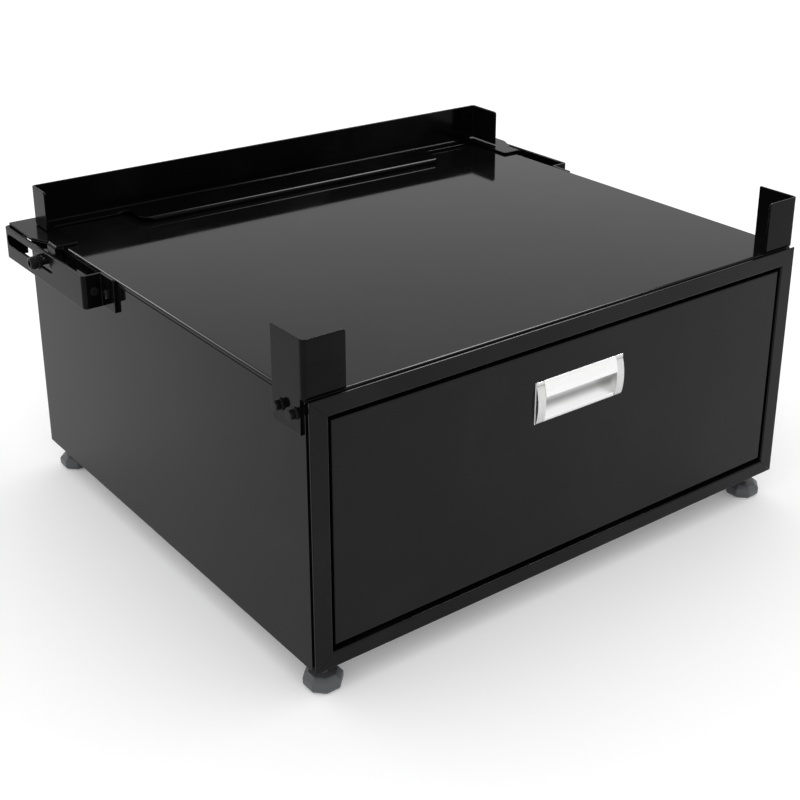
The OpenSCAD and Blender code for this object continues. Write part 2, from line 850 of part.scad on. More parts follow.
// A bowed end with a plug that closes the cup and rests on the liner
module handle_cap(side) {
    bow = handle_proud - handle_rim;
    bow_r = (handle_h * handle_h / 4 + bow * bow) / (2 * bow);
    plug_x = handle_inner_x - handle_fit;
    middle_z = front_z + handle_z + handle_h / 2;
    color(satin_metal) placed() on_side(side) difference() {
        union() {
            translate([-handle_w / 2 + handle_cap_w / 2, 0, 0]) along_x(handle_cap_w)
                handle_profile_space() intersection() {
                    translate([bow_r - handle_proud, handle_h / 2]) circle(bow_r, $fn = 180);
                    translate([-handle_proud, 0]) square([handle_proud, handle_h]);
                }
            translate([-plug_x, front_recess - plug_overlap, front_z + handle_z + handle_lip + handle_fit])
                cube([plug_x - grip_x, front_d + plug_overlap, handle_h - 2 * (handle_lip + handle_fit)]);
        }
        facing_back(-handle_screw_x, liner_y, middle_z) drill(screw_r, handle_screw_l + 1);
    }
}

module handle_screws() {
    color(zinc) placed() for (side = SIDES)
        on_side(side) facing_back(-handle_screw_x, box_y, front_z + handle_z + handle_h / 2) {
            pan_head(button_r_share * screw_r, screw_r);
            shank(screw_r, handle_screw_l + sheet_t);
        }
}

// ---- Front brackets ----

module front_bracket(side) {
    outer_x = half_w + bracket_t;
    top_z = bracket_z + bracket_h;
    leg_z = cabinet_h + stop_clear;
    color(gloss_black) placed() on_side(side) difference() {
        union() {
            translate([-outer_x, bracket_y, leg_z]) cube([bracket_t, bracket_side_l, top_z - leg_z]);
            translate([-outer_x, bracket_y + bracket_step, bracket_z])
                cube([bracket_t, bracket_side_l - bracket_step, bracket_h]);
            translate([-outer_x, bracket_y, leg_z]) cube([bracket_front_l, bracket_t, top_z - leg_z]);
        }
        // bend along the corner
        translate([-outer_x, bracket_y, leg_z]) linear_extrude(top_z) corner_loss(bracket_bend_r);
        // rounded free corners
        along_x(4 * bracket_front_l + cabinet_w) {
            translate([bracket_y + bracket_side_l, top_z]) rotate(180) corner_loss(bracket_r);
            translate([bracket_y + bracket_side_l, bracket_z]) mirror([1, 0]) corner_loss(bracket_r);
        }
        along_y(bracket_y - 1, bracket_t + 2)
            translate([bracket_front_l - outer_x, top_z]) rotate(180) corner_loss(bracket_r);
        for (y = bracket_bolt_ys)
            facing_left(-outer_x, y, bracket_bolt_height) drill(bracket_bolt_r, bracket_t + 1);
    }
}

// Flange bolts that hold the brackets to the rails
module bracket_bolts() {
    washer_h = washer_h_share * bracket_bolt_r;
    flange_h = washer_h + flange_h_share * bracket_bolt_r;
    color(zinc) placed() for (side = SIDES, y = bracket_bolt_ys)
        on_side(side) facing_left(-half_w - bracket_t, y, bracket_bolt_height) {
            cylinder(r = washer_r_share * bracket_bolt_r, h = washer_h);
            cylinder(r = flange_r_share * bracket_bolt_r, h = flange_h);
            hex(nut_af_share * bracket_bolt_r, flange_h + hex_head_h_share * bracket_bolt_r);
            shank(bracket_bolt_r, bracket_t + sheet_t + tube_t + tail_share * bracket_bolt_r);
        }
}

// ---- Rear arms ----

// The flat bar's run seen from above: flange, front wall, outer run and rear return
module arm_plan() {
    outer_x = half_w + arm_reach;
    bend = arm_r - arm_t;
    difference() {
        union() {
            translate([-half_w - arm_t, arm_y - arm_flange_l]) square([arm_t, arm_flange_l + arm_t]);
            translate([-outer_x, arm_y]) square([arm_reach, arm_t]);
            translate([-outer_x, arm_y]) square([arm_t, arm_l]);
            translate([-outer_x, arm_end_y - arm_t]) square([arm_reach, arm_t]);
            translate([arm_t - outer_x, arm_y + arm_t]) inner_bend(bend);
            translate([arm_t - outer_x, arm_end_y - arm_t]) mirror([0, 1]) inner_bend(bend);
        }
        translate([-outer_x, arm_y]) corner_loss(arm_r);
        translate([-outer_x, arm_end_y]) mirror([0, 1]) corner_loss(arm_r);
    }
}

// What a bend adds inside a corner whose walls lie along x and y
module inner_bend(r) {
    difference() {
        translate([-0.01, -0.01]) square(r + 0.01);
        translate([r, r]) circle(r);
    }
}

module slot_shape(length, height) {
    translate([height / 2, -height / 2]) square([length - height, height]);
    for (x = [height / 2, length - height / 2])
        translate([x, 0]) circle(d = height);
}

module rear_arm(side) {
    outer_x = half_w + arm_reach;
    color(satin_black) placed() on_side(side) difference() {
        translate([0, 0, arm_z]) linear_extrude(arm_h) arm_plan();
        translate([arm_t / 2 - outer_x, 0, 0]) along_x(arm_t + 2)
            translate([slot_y, slot_z]) slot_shape(slot_l, slot_h);
        facing_left(-half_w - arm_t, arm_y - arm_bolt_y, arm_bolt_z) drill(arm_bolt_r, arm_t + 1);
        facing_front(-half_w - arm_screw_x, arm_y, arm_bolt_z) drill(arm_screw_r, arm_t + 1);
    }
}

// Cap bolts through the arms' flanges
module arm_bolts() {
    color(zinc) placed() for (side = SIDES)
        on_side(side) facing_left(-half_w - arm_t, arm_y - arm_bolt_y, arm_bolt_z) {
            socket_head(cap_r_share * arm_bolt_r, cap_h_share * arm_bolt_r);
            shank(arm_bolt_r, arm_t + sheet_t + tube_t + tail_share * arm_bolt_r);
        }
}

module socket_head(r, height) {
    difference() {
        pan_head(r, height);
        translate([0, 0, height / 2]) hex(r, height);
    }
}

// Button screws in the arms' front walls, each with its nut
module arm_screws() {
    color(zinc) placed() for (side = SIDES)
        on_side(side) {
            facing_front(-half_w - arm_screw_x, arm_y, arm_bolt_z) {
                pan_head(button_r_share * arm_screw_r, button_h_share * arm_screw_r);
                shank(arm_screw_r, arm_t + tail_share * arm_screw_r);
            }
            facing_back(-half_w - arm_screw_x, arm_y + arm_t, arm_bolt_z) bolt_nut(arm_screw_r);
        }
}

// ---- Rear stop ----

// Turns the stop about the middle between its clamp bolts
module stop_placed() {
    placed() translate([0, clamp_y, 0]) rotate(-stop_turn) translate([0, -clamp_y, 0]) children();
}

// Wall with its forward end flanges, seen from above
module stop_plan() {
    x = stop_w / 2;
    difference() {
        union() {
            translate([-x, stop_y - stop_left_l]) square([x, stop_left_l]);
            translate([0, stop_y - stop_right_l]) square([x, stop_right_l]);
        }
        translate([stop_t - x, stop_y - stop_w])
            square([stop_w - 2 * stop_t, stop_w - stop_t]);
        for (side = SIDES)
            on_side(side) translate([-x, stop_y]) mirror([0, 1]) corner_loss(stop_r);
    }
}

// Base flange, raised shelf and down-turned lip, seen from the side
module shelf_profile() {
    top_z = cabinet_h + shelf_h;
    step_y = stop_y - stop_base_l;
    front_y = stop_y - shelf_l;
    difference() {
        union() {
            translate([front_y, top_z - stop_t]) square([step_y - front_y + stop_t, stop_t]);
            translate([front_y, stop_z]) square([stop_t, top_z - stop_z]);
            translate([step_y, stop_z]) square([stop_t, top_z - stop_z]);
        }
        translate([front_y, top_z]) mirror([0, 1]) corner_loss(stop_t);
    }
}

// Outline of the shelf from above, with its curved ends
module shelf_plan() {
    front_y = stop_y - shelf_l;
    rear_y = stop_y - stop_base_l + stop_t;
    difference() {
        translate([-shelf_w / 2, front_y]) square([shelf_w, rear_y - front_y]);
        for (side = SIDES)
            on_side(side) translate([-shelf_w / 2, front_y]) corner_loss(shelf_r);
    }
}

module stop_foot_plate() {
    depth = plate_l + plate_back;
    difference() {
        union() {
            translate([-ear_x, plate_y, stop_z]) cube([plate_in + plate_out, depth, stop_t]);
            translate([-ear_x, plate_y, cabinet_h - ear_drop])
                cube([stop_t, ear_l, ear_drop + stop_clear + stop_t]);
        }
        along_y(plate_y - 1, depth + 2)
            translate([-ear_x, stop_z + stop_t]) mirror([0, 1]) corner_loss(ear_bend_r);
        facing_left(-ear_x, clamp_y, slot_z) drill(clamp_r, stop_t + 1);
    }
}

// Rounded upper corner of an end flange
module stop_corner_loss(depth) {
    along_x(4 * stop_t) translate([stop_y - depth, cabinet_h + stop_h]) mirror([0, 1]) corner_loss(stop_r);
}

module rear_stop() {
    relief = 2 * stop_r;
    top_z = cabinet_h + stop_h;
    flange_z = cabinet_h + stop_flange_gap;
    color(satin_black) stop_placed() {
        difference() {
            translate([0, 0, flange_z]) linear_extrude(top_z - flange_z) stop_plan();
            translate([-stop_w / 2, 0, 0]) stop_corner_loss(stop_left_l);
            translate([stop_w / 2, 0, 0]) stop_corner_loss(stop_right_l);
        }
        translate([relief - stop_w / 2, stop_y - stop_t, stop_z])
            cube([stop_w - 2 * relief, stop_t, flange_z - stop_z]);
        translate([relief - stop_w / 2, stop_y - stop_base_l, stop_z])
            cube([stop_w - 2 * relief, stop_base_l, stop_t]);
        intersection() {
            along_x(shelf_w) shelf_profile();
            linear_extrude(2 * cabinet_h) shelf_plan();
        }
        for (side = SIDES) on_side(side) stop_foot_plate();
    }
}

// Cap bolts that clamp the stop to the arms
module clamp_bolts() {
    seat_x = half_w + arm_reach + clamp_clear + clamp_spacer_h;
    color(zinc) stop_placed() for (side = SIDES)
        on_side(side) facing_left(-seat_x, clamp_y, slot_z) {
            socket_head(clamp_head_r, clamp_head_h);
            shank(clamp_r, seat_x - ear_x + stop_t + clamp_nut_h);
        }
}

module clamp_spacers() {
    color(zinc) stop_placed() for (side = SIDES)
        on_side(side) facing_left(-half_w - arm_reach - clamp_clear, clamp_y, slot_z)
            nut(clamp_af, clamp_spacer_h, clamp_r + hole_clear);
}

module clamp_nuts() {
    color(zinc) stop_placed() for (side = SIDES)
        on_side(side) facing_left(stop_t + clamp_nut_h - ear_x, clamp_y, slot_z)
            nut(clamp_af, clamp_nut_h, clamp_r + hole_clear);
}

// ---- Feet ----

// Eight-sided pad with a bevelled shoulder
module pad() {
    apothem = pad_w / 2;
    difference() {
        rotate(22.5) cylinder(r = apothem / cos(22.5), h = pad_h, $fn = 8);
        for (i = [0 : 7])
            rotate(45 * i) translate([apothem, 0, pad_h - pad_bevel]) rotate([0, -45, 0])
                translate([0, -pad_w, -pad_w]) cube([pad_w, 2 * pad_w, 2 * pad_w]);
    }
}

module foot(side, y) {
    color(foot_grey) placed() on_side(side) translate([-foot_x, y, -foot_h]) {
        pad();
        translate([0, 0, pad_h / 2]) cylinder(r = stud_r, h = pad_h / 2 + stud_l);
    }
}

module foot_lock_nuts() {
    color(zinc) placed() for (side = SIDES, y = foot_ys)
        on_side(side) translate([-foot_x, y, sheet_t - foot_lock_nut_h])
            nut(foot_nut_af, foot_lock_nut_h, stud_r + stud_clear);
}

frame_top_rail();
frame_bottom_rail();
frame_stile_at(LEFT);  // frame_stile_left
frame_stile_at(RIGHT);  // frame_stile_right
top_panel();
side_panel(LEFT);  // side_panel_left
side_panel(RIGHT);  // side_panel_right
back_panel();
base_pan();
back_screws();
top_rail(LEFT);  // top_rail_left
top_rail(RIGHT);  // top_rail_right
top_rail_rear();
cross_member(1 / 3);  // cross_member_front
cross_member(2 / 3);  // cross_member_rear
rear_post(LEFT);  // rear_post_left
rear_post(RIGHT);  // rear_post_right
base_rail(LEFT);  // base_rail_left
base_rail(RIGHT);  // base_rail_right
foot_plates();
weld_nuts();
slide_bracket(LEFT);  // slide_bracket_left
slide_bracket(RIGHT);  // slide_bracket_right
cabinet_slide(LEFT);  // cabinet_slide_left
cabinet_slide(RIGHT);  // cabinet_slide_right
middle_slide(LEFT);  // middle_slide_left
middle_slide(RIGHT);  // middle_slide_right
slide_retainers(LEFT);  // slide_retainers_left
slide_retainers(RIGHT);  // slide_retainers_right
drawer_slide(LEFT);  // drawer_slide_left
drawer_slide(RIGHT);  // drawer_slide_right
cabinet_slide_screws();
drawer_slide_screws();
drawer_front();
drawer_liner();
drawer_side(LEFT);  // drawer_side_left
drawer_side(RIGHT);  // drawer_side_right
drawer_back();
drawer_bottom();
handle_grip();
handle_cap(LEFT);  // handle_cap_left
handle_cap(RIGHT);  // handle_cap_right
handle_screws();
front_bracket(LEFT);  // front_bracket_left
front_bracket(RIGHT);  // front_bracket_right
bracket_bolts();
rear_arm(LEFT);  // rear_arm_left
rear_arm(RIGHT);  // rear_arm_right
arm_bolts();
arm_screws();
rear_stop();
clamp_bolts();
clamp_spacers();
clamp_nuts();
foot(LEFT, foot_ys[0]);  // foot_front_left
foot(RIGHT, foot_ys[0]);  // foot_front_right
foot(LEFT, foot_ys[1]);  // foot_rear_left
foot(RIGHT, foot_ys[1]);  // foot_rear_right
foot_lock_nuts();
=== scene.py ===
import json

import bpy
import numpy as np
from mathutils import Matrix, Vector


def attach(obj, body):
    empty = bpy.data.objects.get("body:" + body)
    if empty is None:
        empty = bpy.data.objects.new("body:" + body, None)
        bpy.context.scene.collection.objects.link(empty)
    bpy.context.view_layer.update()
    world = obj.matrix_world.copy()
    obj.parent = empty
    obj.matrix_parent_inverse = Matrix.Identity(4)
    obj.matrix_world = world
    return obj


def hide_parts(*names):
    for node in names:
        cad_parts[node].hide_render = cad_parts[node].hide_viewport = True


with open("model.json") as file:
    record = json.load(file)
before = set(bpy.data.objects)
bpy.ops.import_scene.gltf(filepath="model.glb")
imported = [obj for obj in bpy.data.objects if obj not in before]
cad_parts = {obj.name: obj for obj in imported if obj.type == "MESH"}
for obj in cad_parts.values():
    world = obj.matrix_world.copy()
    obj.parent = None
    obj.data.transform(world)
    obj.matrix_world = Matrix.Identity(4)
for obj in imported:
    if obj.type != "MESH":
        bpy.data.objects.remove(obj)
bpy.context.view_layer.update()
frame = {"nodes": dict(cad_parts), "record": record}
nodes = frame["nodes"]
print("frame loaded:", len(nodes), "nodes")


# Camera: three-quarter view from the front left, a little above

view = {
    "place": (-0.9614, -1.26945, 0.8932),
    "turn": -37.09,  # degrees round the object, 0 is straight in front
    "rise": 21.97,   # degrees above the floor
    "lens": 62.87,
    "sensor": 36.0,
    "shift": -0.1296,
    "clip": (0.05, 60.0),
}


def aimCamera(v):
    turn, rise = np.radians(v["turn"]), np.radians(v["rise"])
    back = np.array([np.sin(turn) * np.cos(rise), -np.cos(turn) * np.cos(rise), np.sin(rise)])
    right = np.array([np.cos(turn), np.sin(turn), 0.0])
    axes = np.eye(4)
    axes[:3] = np.stack([right, np.cross(back, right), back, v["place"]], 1)
    data = bpy.data.cameras.new("studioCamera")
    data.lens, data.sensor_width, data.shift_y = v["lens"], v["sensor"], v["shift"]
    data.clip_start, data.clip_end = v["clip"]
    camera = bpy.data.objects.new("studioCamera", data)
    camera.matrix_world = Matrix(axes.tolist())
    bpy.context.scene.collection.objects.link(camera)
    bpy.context.scene.camera = camera


aimCamera(view)
bpy.context.scene.view_settings.view_transform = "Standard"


# Node helpers: math, mapRange, noise and mixColour each make one node and return its output

def newNodes(tree):
    tree.nodes.clear()
    return tree.nodes, tree.links


def feed(tree, socket, value):
    # A socket takes another node's output or a plain value
    if isinstance(value, bpy.types.NodeSocket):
        tree.links.new(value, socket)
    else:
        socket.default_value = value


def math(tree, operation, *values):
    node = tree.nodes.new("ShaderNodeMath")
    node.operation = operation
    for socket, value in zip(node.inputs, values):
        feed(tree, socket, value)
    return node.outputs[0]


def mapRange(tree, value, low, high, outLow, outHigh, smooth=False):
    node = tree.nodes.new("ShaderNodeMapRange")
    labels = ("Value", "From Min", "From Max", "To Min", "To Max")
    for label, given in zip(labels, (value, low, high, outLow, outHigh)):
        feed(tree, node.inputs[label], given)
    if smooth:
        node.interpolation_type = "SMOOTHSTEP"
    return node.outputs[0]


def noise(tree, vector, scale, detail, rough, warp=0.0):
    node = tree.nodes.new("ShaderNodeTexNoise")
    labels = ("Vector", "Scale", "Detail", "Roughness", "Distortion")
    for label, given in zip(labels, (vector, scale, detail, rough, warp)):
        feed(tree, node.inputs[label], given)
    return node.outputs[0]


def mixColour(tree, factor, a, b, mode="MIX"):
    node = tree.nodes.new("ShaderNodeMix")
    node.data_type = "RGBA"
    node.blend_type = mode
    for label, given in zip(("Factor", "A", "B"), (factor, a, b)):
        feed(tree, node.inputs[label], given)
    return node.outputs["Result"]


# Studio: white floor, a soft sky that is dimmer near the horizon, two soft lamps

studio = {
    "horizon": 1.02,
    "overhead": 1.12,
    "skySpan": (0.30, 0.95),  # heights, as the sine of the angle, between which the sky brightens
    "floorGlow": 0.14,
    "floorColour": 0.93,
    "floorReach": 14.0,
}
lamps = {
    "lampRear": {"place": (-1.0, 2.1, 1.65), "aim": (0, 0, 0.25), "size": (1.2, 0.5), "power": 26},
    "lampRight": {"place": (1.3, 0.3, 2.2), "aim": (0, 0, 0.3), "size": (1.6, 0.7), "power": 80},
}


def buildWorld(s):
    world = bpy.data.worlds.new("studioSky")
    world.use_nodes = True
    tree = world.node_tree
    made, links = newNodes(tree)
    out = made.new("ShaderNodeOutputWorld")
    glow = made.new("ShaderNodeBackground")
    place = made.new("ShaderNodeTexCoord")
    split = made.new("ShaderNodeSeparateXYZ")
    glow.inputs["Color"].default_value = (1, 1, 1, 1)
    links.new(place.outputs["Generated"], split.inputs[0])
    strength = mapRange(tree, split.outputs["Z"], *s["skySpan"], s["horizon"], s["overhead"], True)
    links.new(strength, glow.inputs["Strength"])
    links.new(glow.outputs[0], out.inputs[0])
    bpy.context.scene.world = world


def buildFloor(s):
    reach = s["floorReach"]
    mesh = bpy.data.meshes.new("studioFloor")
    corners = [(x * reach, y * reach, 0) for x, y in ((-1, -1), (1, -1), (1, 1), (-1, 1))]
    mesh.from_pydata(corners, [], [(0, 1, 2, 3)])
    floor = bpy.data.objects.new("studioFloor", mesh)
    bpy.context.scene.collection.objects.link(floor)
    white = bpy.data.materials.new("studioWhite")
    white.use_nodes = True
    tree = white.node_tree
    made, links = newNodes(tree)
    out = made.new("ShaderNodeOutputMaterial")
    matt = made.new("ShaderNodeBsdfDiffuse")
    matt.inputs["Color"].default_value = (s["floorColour"],) * 3 + (1,)
    glow = made.new("ShaderNodeEmission")
    path = made.new("ShaderNodeLightPath")
    both = made.new("ShaderNodeAddShader")
    seen = math(tree, "MAXIMUM", path.outputs["Is Camera Ray"], path.outputs["Is Glossy Ray"])
    seen = math(tree, "MAXIMUM", seen, path.outputs["Is Transmission Ray"])
    links.new(math(tree, "MULTIPLY", seen, s["floorGlow"]), glow.inputs["Strength"])
    links.new(matt.outputs[0], both.inputs[0])
    links.new(glow.outputs[0], both.inputs[1])
    links.new(both.outputs[0], out.inputs["Surface"])
    mesh.materials.append(white)


def softLamp(name, place, aim, size, power):
    data = bpy.data.lights.new(name, "AREA")
    data.shape, data.energy = "RECTANGLE", power
    data.size, data.size_y = size
    lamp = bpy.data.objects.new(name, data)
    away = Vector(place) - Vector(aim)
    lamp.matrix_world = Matrix.Translation(place) @ away.to_track_quat("Z", "Y").to_matrix().to_4x4()
    lamp.visible_diffuse = False  # only glints on edges and bends; the sky alone lights matt surfaces
    bpy.context.scene.collection.objects.link(lamp)


buildWorld(studio)
buildFloor(studio)
for name, lamp in lamps.items():
    softLamp(name, **lamp)
print("studio ready")


# Effects shared by several finishes

paintForm = {
    "waves": 5.5, "cloud": 9.0, "specks": 900.0,  # noise scales
    "hazeSpan": (0.42, 0.72), "dustSpan": (0.70, 0.76),
    "mostMarks": 2.0,  # haze and dust together
    "pale": 0.05, "paleTint": (0.10, 0.10, 0.105, 1),
}
grainForm = {"lines": 60.0, "stains": 14.0, "gain": 2.0, "darkSpan": (0.35, 0.75)}


def group(name, inputs, outputs):
    tree = bpy.data.node_groups.new(name, "ShaderNodeTree")
    for label, kind, value in inputs:
        socket = tree.interface.new_socket(label, in_out="INPUT", socket_type=kind)
        socket.default_value = value
    for label, kind in outputs:
        tree.interface.new_socket(label, in_out="OUTPUT", socket_type=kind)
    return tree, tree.nodes.new("NodeGroupInput").outputs, tree.nodes.new("NodeGroupOutput").inputs


skinOutputs = [("Color", "NodeSocketColor"), ("Roughness", "NodeSocketFloat"), ("Height", "NodeSocketFloat")]


def deliver(tree, result, color, roughness, height):
    for (label, _), value in zip(skinOutputs, (color, roughness, height)):
        tree.links.new(value, result[label])


def buildPaintSkin(s):
    # Sprayed paint: height = fine orange peel + long sheet-metal waves; roughness and a pale tint grow where a cloudy
    # noise (handling marks) or a very fine one (dust specks) is high
    tree, given, result = group(
        "paintSkin",
        [("Vector", "NodeSocketVector", (0, 0, 0)), ("Peel Scale", "NodeSocketFloat", 420.0),
         ("Peel", "NodeSocketFloat", 0.5), ("Waves", "NodeSocketFloat", 0.5),
         ("Base", "NodeSocketColor", (0.01, 0.01, 0.01, 1)),
         ("Roughness", "NodeSocketFloat", 0.1), ("Haze", "NodeSocketFloat", 0.05)],
        skinOutputs,
    )
    at = given["Vector"]
    peel = math(tree, "MULTIPLY", noise(tree, at, given["Peel Scale"], 2.0, 0.5), given["Peel"])
    waves = math(tree, "MULTIPLY", noise(tree, at, s["waves"], 1.0, 0.4), given["Waves"])
    haze = mapRange(tree, noise(tree, at, s["cloud"], 4.0, 0.6, 0.4), *s["hazeSpan"], 0.0, 1.0, True)
    dust = mapRange(tree, noise(tree, at, s["specks"], 1.0, 0.5), *s["dustSpan"], 0.0, 1.0)
    marks = math(tree, "ADD", haze, dust)
    rough = math(tree, "ADD", given["Roughness"], math(tree, "MULTIPLY", marks, given["Haze"]))
    pale = mapRange(tree, marks, 0.0, s["mostMarks"], 0.0, s["pale"])
    tint = mixColour(tree, pale, given["Base"], s["paleTint"], "ADD")
    deliver(tree, result, tint, rough, math(tree, "ADD", peel, waves))
    return tree


def buildMetalGrain(s):
    # Brushed or rolled metal: lines = noise stretched by the mapping; it darkens where lines times slow stains is high
    tree, given, result = group(
        "metalGrain",
        [("Vector", "NodeSocketVector", (0, 0, 0)), ("Base", "NodeSocketColor", (0.8, 0.8, 0.8, 1)),
         ("Dark", "NodeSocketColor", (0.6, 0.6, 0.6, 1)), ("Roughness", "NodeSocketFloat", 0.3),
         ("Spread", "NodeSocketFloat", 0.1)],
        skinOutputs,
    )
    at = given["Vector"]
    lines = noise(tree, at, s["lines"], 3.0, 0.6)
    stains = noise(tree, at, s["stains"], 3.0, 0.55, 0.6)
    both = math(tree, "MULTIPLY", math(tree, "MULTIPLY", lines, stains), s["gain"])
    tone = mixColour(tree, mapRange(tree, both, *s["darkSpan"], 0.0, 1.0, True), given["Base"], given["Dark"])
    rough = math(tree, "ADD", math(tree, "MULTIPLY", lines, given["Spread"]), given["Roughness"])
    deliver(tree, result, tone, rough, lines)
    return tree


paintSkin = buildPaintSkin(paintForm)
metalGrain = buildMetalGrain(grainForm)


# Finishes

def shaded(tree, tone, at, shade):
    # Painted shade in the finger cup's recess, in metres: behind depth's second value the tone falls to low at a
    # height and is whole again at reach from it; before depth's first value it is untouched
    split = tree.nodes.new("ShaderNodeSeparateXYZ")
    tree.links.new(at, split.inputs[0])
    wall = mapRange(tree, split.outputs["Y"], *shade["depth"], 0.0, 1.0, True)
    away = math(tree, "ABSOLUTE", math(tree, "SUBTRACT", split.outputs["Z"], shade["height"]))
    level = tree.nodes.new("ShaderNodeMix")
    feed(tree, level.inputs["Factor"], wall)
    feed(tree, level.inputs["A"], 1.0)
    feed(tree, level.inputs["B"], mapRange(tree, away, 0.0, shade["reach"], shade["low"], 1.0, True))
    dim = tree.nodes.new("ShaderNodeVectorMath")
    dim.operation = "SCALE"
    tree.links.new(tone, dim.inputs[0])
    tree.links.new(level.outputs[0], dim.inputs["Scale"])
    return dim.outputs[0]


def finish(name, effect, values, ior=1.5, metal=0.0, bump=0.02, stretch=(1, 1, 1), shade=None):
    # bump is the relief's depth in millimetres
    material = bpy.data.materials.new(name)
    material.use_nodes = True
    tree = material.node_tree
    made, links = newNodes(tree)
    out = made.new("ShaderNodeOutputMaterial")
    shader = made.new("ShaderNodeBsdfPrincipled")
    shader.inputs["IOR"].default_value = ior
    shader.inputs["Metallic"].default_value = metal
    place = made.new("ShaderNodeTexCoord")
    size = made.new("ShaderNodeMapping")
    size.inputs["Scale"].default_value = stretch
    surface = made.new("ShaderNodeGroup")
    surface.node_tree = effect
    for label, value in values.items():
        surface.inputs[label].default_value = value + (1,) if isinstance(value, tuple) else value
    relief = made.new("ShaderNodeBump")
    relief.inputs["Strength"].default_value = 1.0
    relief.inputs["Distance"].default_value = bump / 1000
    links.new(place.outputs["Object"], size.inputs["Vector"])
    links.new(size.outputs[0], surface.inputs["Vector"])
    tone = surface.outputs["Color"]
    if shade:
        tone = shaded(tree, tone, place.outputs["Object"], shade)
    links.new(tone, shader.inputs["Base Color"])
    links.new(surface.outputs["Roughness"], shader.inputs["Roughness"])
    links.new(surface.outputs["Height"], relief.inputs["Height"])
    links.new(relief.outputs[0], shader.inputs["Normal"])
    links.new(shader.outputs[0], out.inputs["Surface"])
    return material


def paint(base, rough, haze, peel, waves, peelScale=420.0):
    return {"Base": base, "Roughness": rough, "Haze": haze, "Peel": peel, "Waves": waves, "Peel Scale": peelScale}


def grain(base, dark, rough, spread):
    return {"Base": base, "Dark": dark, "Roughness": rough, "Spread": spread}


# The gloss paints' index is below real paint's, so that they mirror the white studio as dark as the photograph does
paints = {
    "panelPaint": dict(ior=1.2, bump=0.010, values=paint((0.0025, 0.0025, 0.0028), 0.05, 0.02, 0.4, 3.0)),
    "drawerPaint": dict(ior=1.25, bump=0.010, values=paint((0.0022, 0.0022, 0.0024), 0.11, 0.03, 0.4, 3.0)),
    "framePaint": dict(ior=1.23, bump=0.010, values=paint((0.0022, 0.0022, 0.0024), 0.10, 0.03, 0.4, 1.5)),
    "bracketPaint": dict(ior=1.17, bump=0.010, values=paint((0.0015, 0.0015, 0.0017), 0.09, 0.03, 0.5, 1.0)),
    "steelPaint": dict(ior=1.16, bump=0.012, values=paint((0.001, 0.001, 0.0012), 0.13, 0.05, 0.6, 1.0)),
    "innerPaint": dict(ior=1.45, bump=0.03, values=paint((0.016, 0.016, 0.017), 0.36, 0.08, 1.0, 1.0, 700.0)),
    "footPaint": dict(ior=1.4, bump=0.06, values=paint((0.078, 0.080, 0.085), 0.36, 0.1, 1.0, 1.0, 900.0)),
    "nylonSkin": dict(ior=1.53, bump=0.03, values=paint((0.72, 0.71, 0.66), 0.4, 0.08, 1.0, 0.5, 1200.0)),
}
# painted shade: a darker band on the back wall of the grip's finger cup, where shade falls
paintedCupShade = dict(depth=(-0.3122, -0.3102), height=0.2378, reach=0.0072, low=0.42)
metals = {
    "gripAluminium": dict(metal=1.0, bump=0.004, stretch=(4, 60, 60), shade=paintedCupShade,
                          values=grain((0.86, 0.86, 0.855), (0.82, 0.82, 0.82), 0.26, 0.06)),
    # painted shade: the caps take the grip's aluminium darker, standing in for the shade on their bowed fronts
    "capAluminiumPaintedShade": dict(metal=1.0, bump=0.004, stretch=(60, 60, 8),
                         values=grain((0.66, 0.66, 0.655), (0.56, 0.56, 0.56), 0.22, 0.08)),
    "boltBlack": dict(ior=1.17, bump=0.01, stretch=(30, 30, 30),
                      values=grain((0.008, 0.008, 0.009), (0.004, 0.004, 0.004), 0.17, 0.12)),
    "zincPlate": dict(metal=1.0, bump=0.006, stretch=(40, 6, 40),
                      values=grain((0.62, 0.64, 0.67), (0.48, 0.49, 0.50), 0.28, 0.18)),
}
finishes = {name: finish(name, paintSkin, **v) for name, v in paints.items()}
finishes.update({name: finish(name, metalGrain, **v) for name, v in metals.items()})

slotFinish = {
    "gloss_black": "panelPaint", "frame_black": "framePaint", "satin_black": "innerPaint",
    "handle_metal": "capAluminiumPaintedShade", "dark_steel": "boltBlack", "zinc_steel": "zincPlate",
    "foot_grey": "footPaint", "nylon": "nylonSkin",
}
nodeFinish = {
    "drawer_front": "drawerPaint", "front_bracket_left": "bracketPaint", "front_bracket_right": "bracketPaint",
    "rear_arm_left": "steelPaint", "rear_arm_right": "steelPaint", "rear_stop": "steelPaint",
    "foot_lock_nuts": "footPaint",
}
slotOf = {part["node"]: part["material_slot"] for part in frame["record"]["subparts"]}

for name, piece in nodes.items():
    piece.data.materials.clear()
    piece.data.materials.append(finishes[nodeFinish.get(name) or slotFinish[slotOf[name]]])
print("finishes ready:", len(finishes))


# Every measure below is in millimetres from the cabinet's front lower middle, z from its bottom edge

floorLevel = -34.0
toRow = np.array([0.0, -315.25, -floorLevel])
sheetEdge = 0.8  # rounding of a sheet's cut edges
collar = 0.4     # straight run beside each bend and rounding, which keeps the flats' shading flat
jumpRun = 0.05   # length over which an outline jumps from one level to another


def quadGrid(rows, cols):
    # Quads between neighbouring rows and columns; the last column joins the first
    across = np.arange(cols)
    start = np.arange(rows - 1)[:, None] * cols
    a, b = (start + across).ravel(), (start + (across + 1) % cols).ravel()
    return np.stack([a, b, b + cols, a + cols], 1)


def fanVolume(p):
    # Six times the signed volume between the origin and polygons p (count, corners, 3)
    return sum(np.einsum("ij,ij->i", p[:, 0], np.cross(p[:, i], p[:, i + 1])).sum() for i in range(1, p.shape[1] - 1))


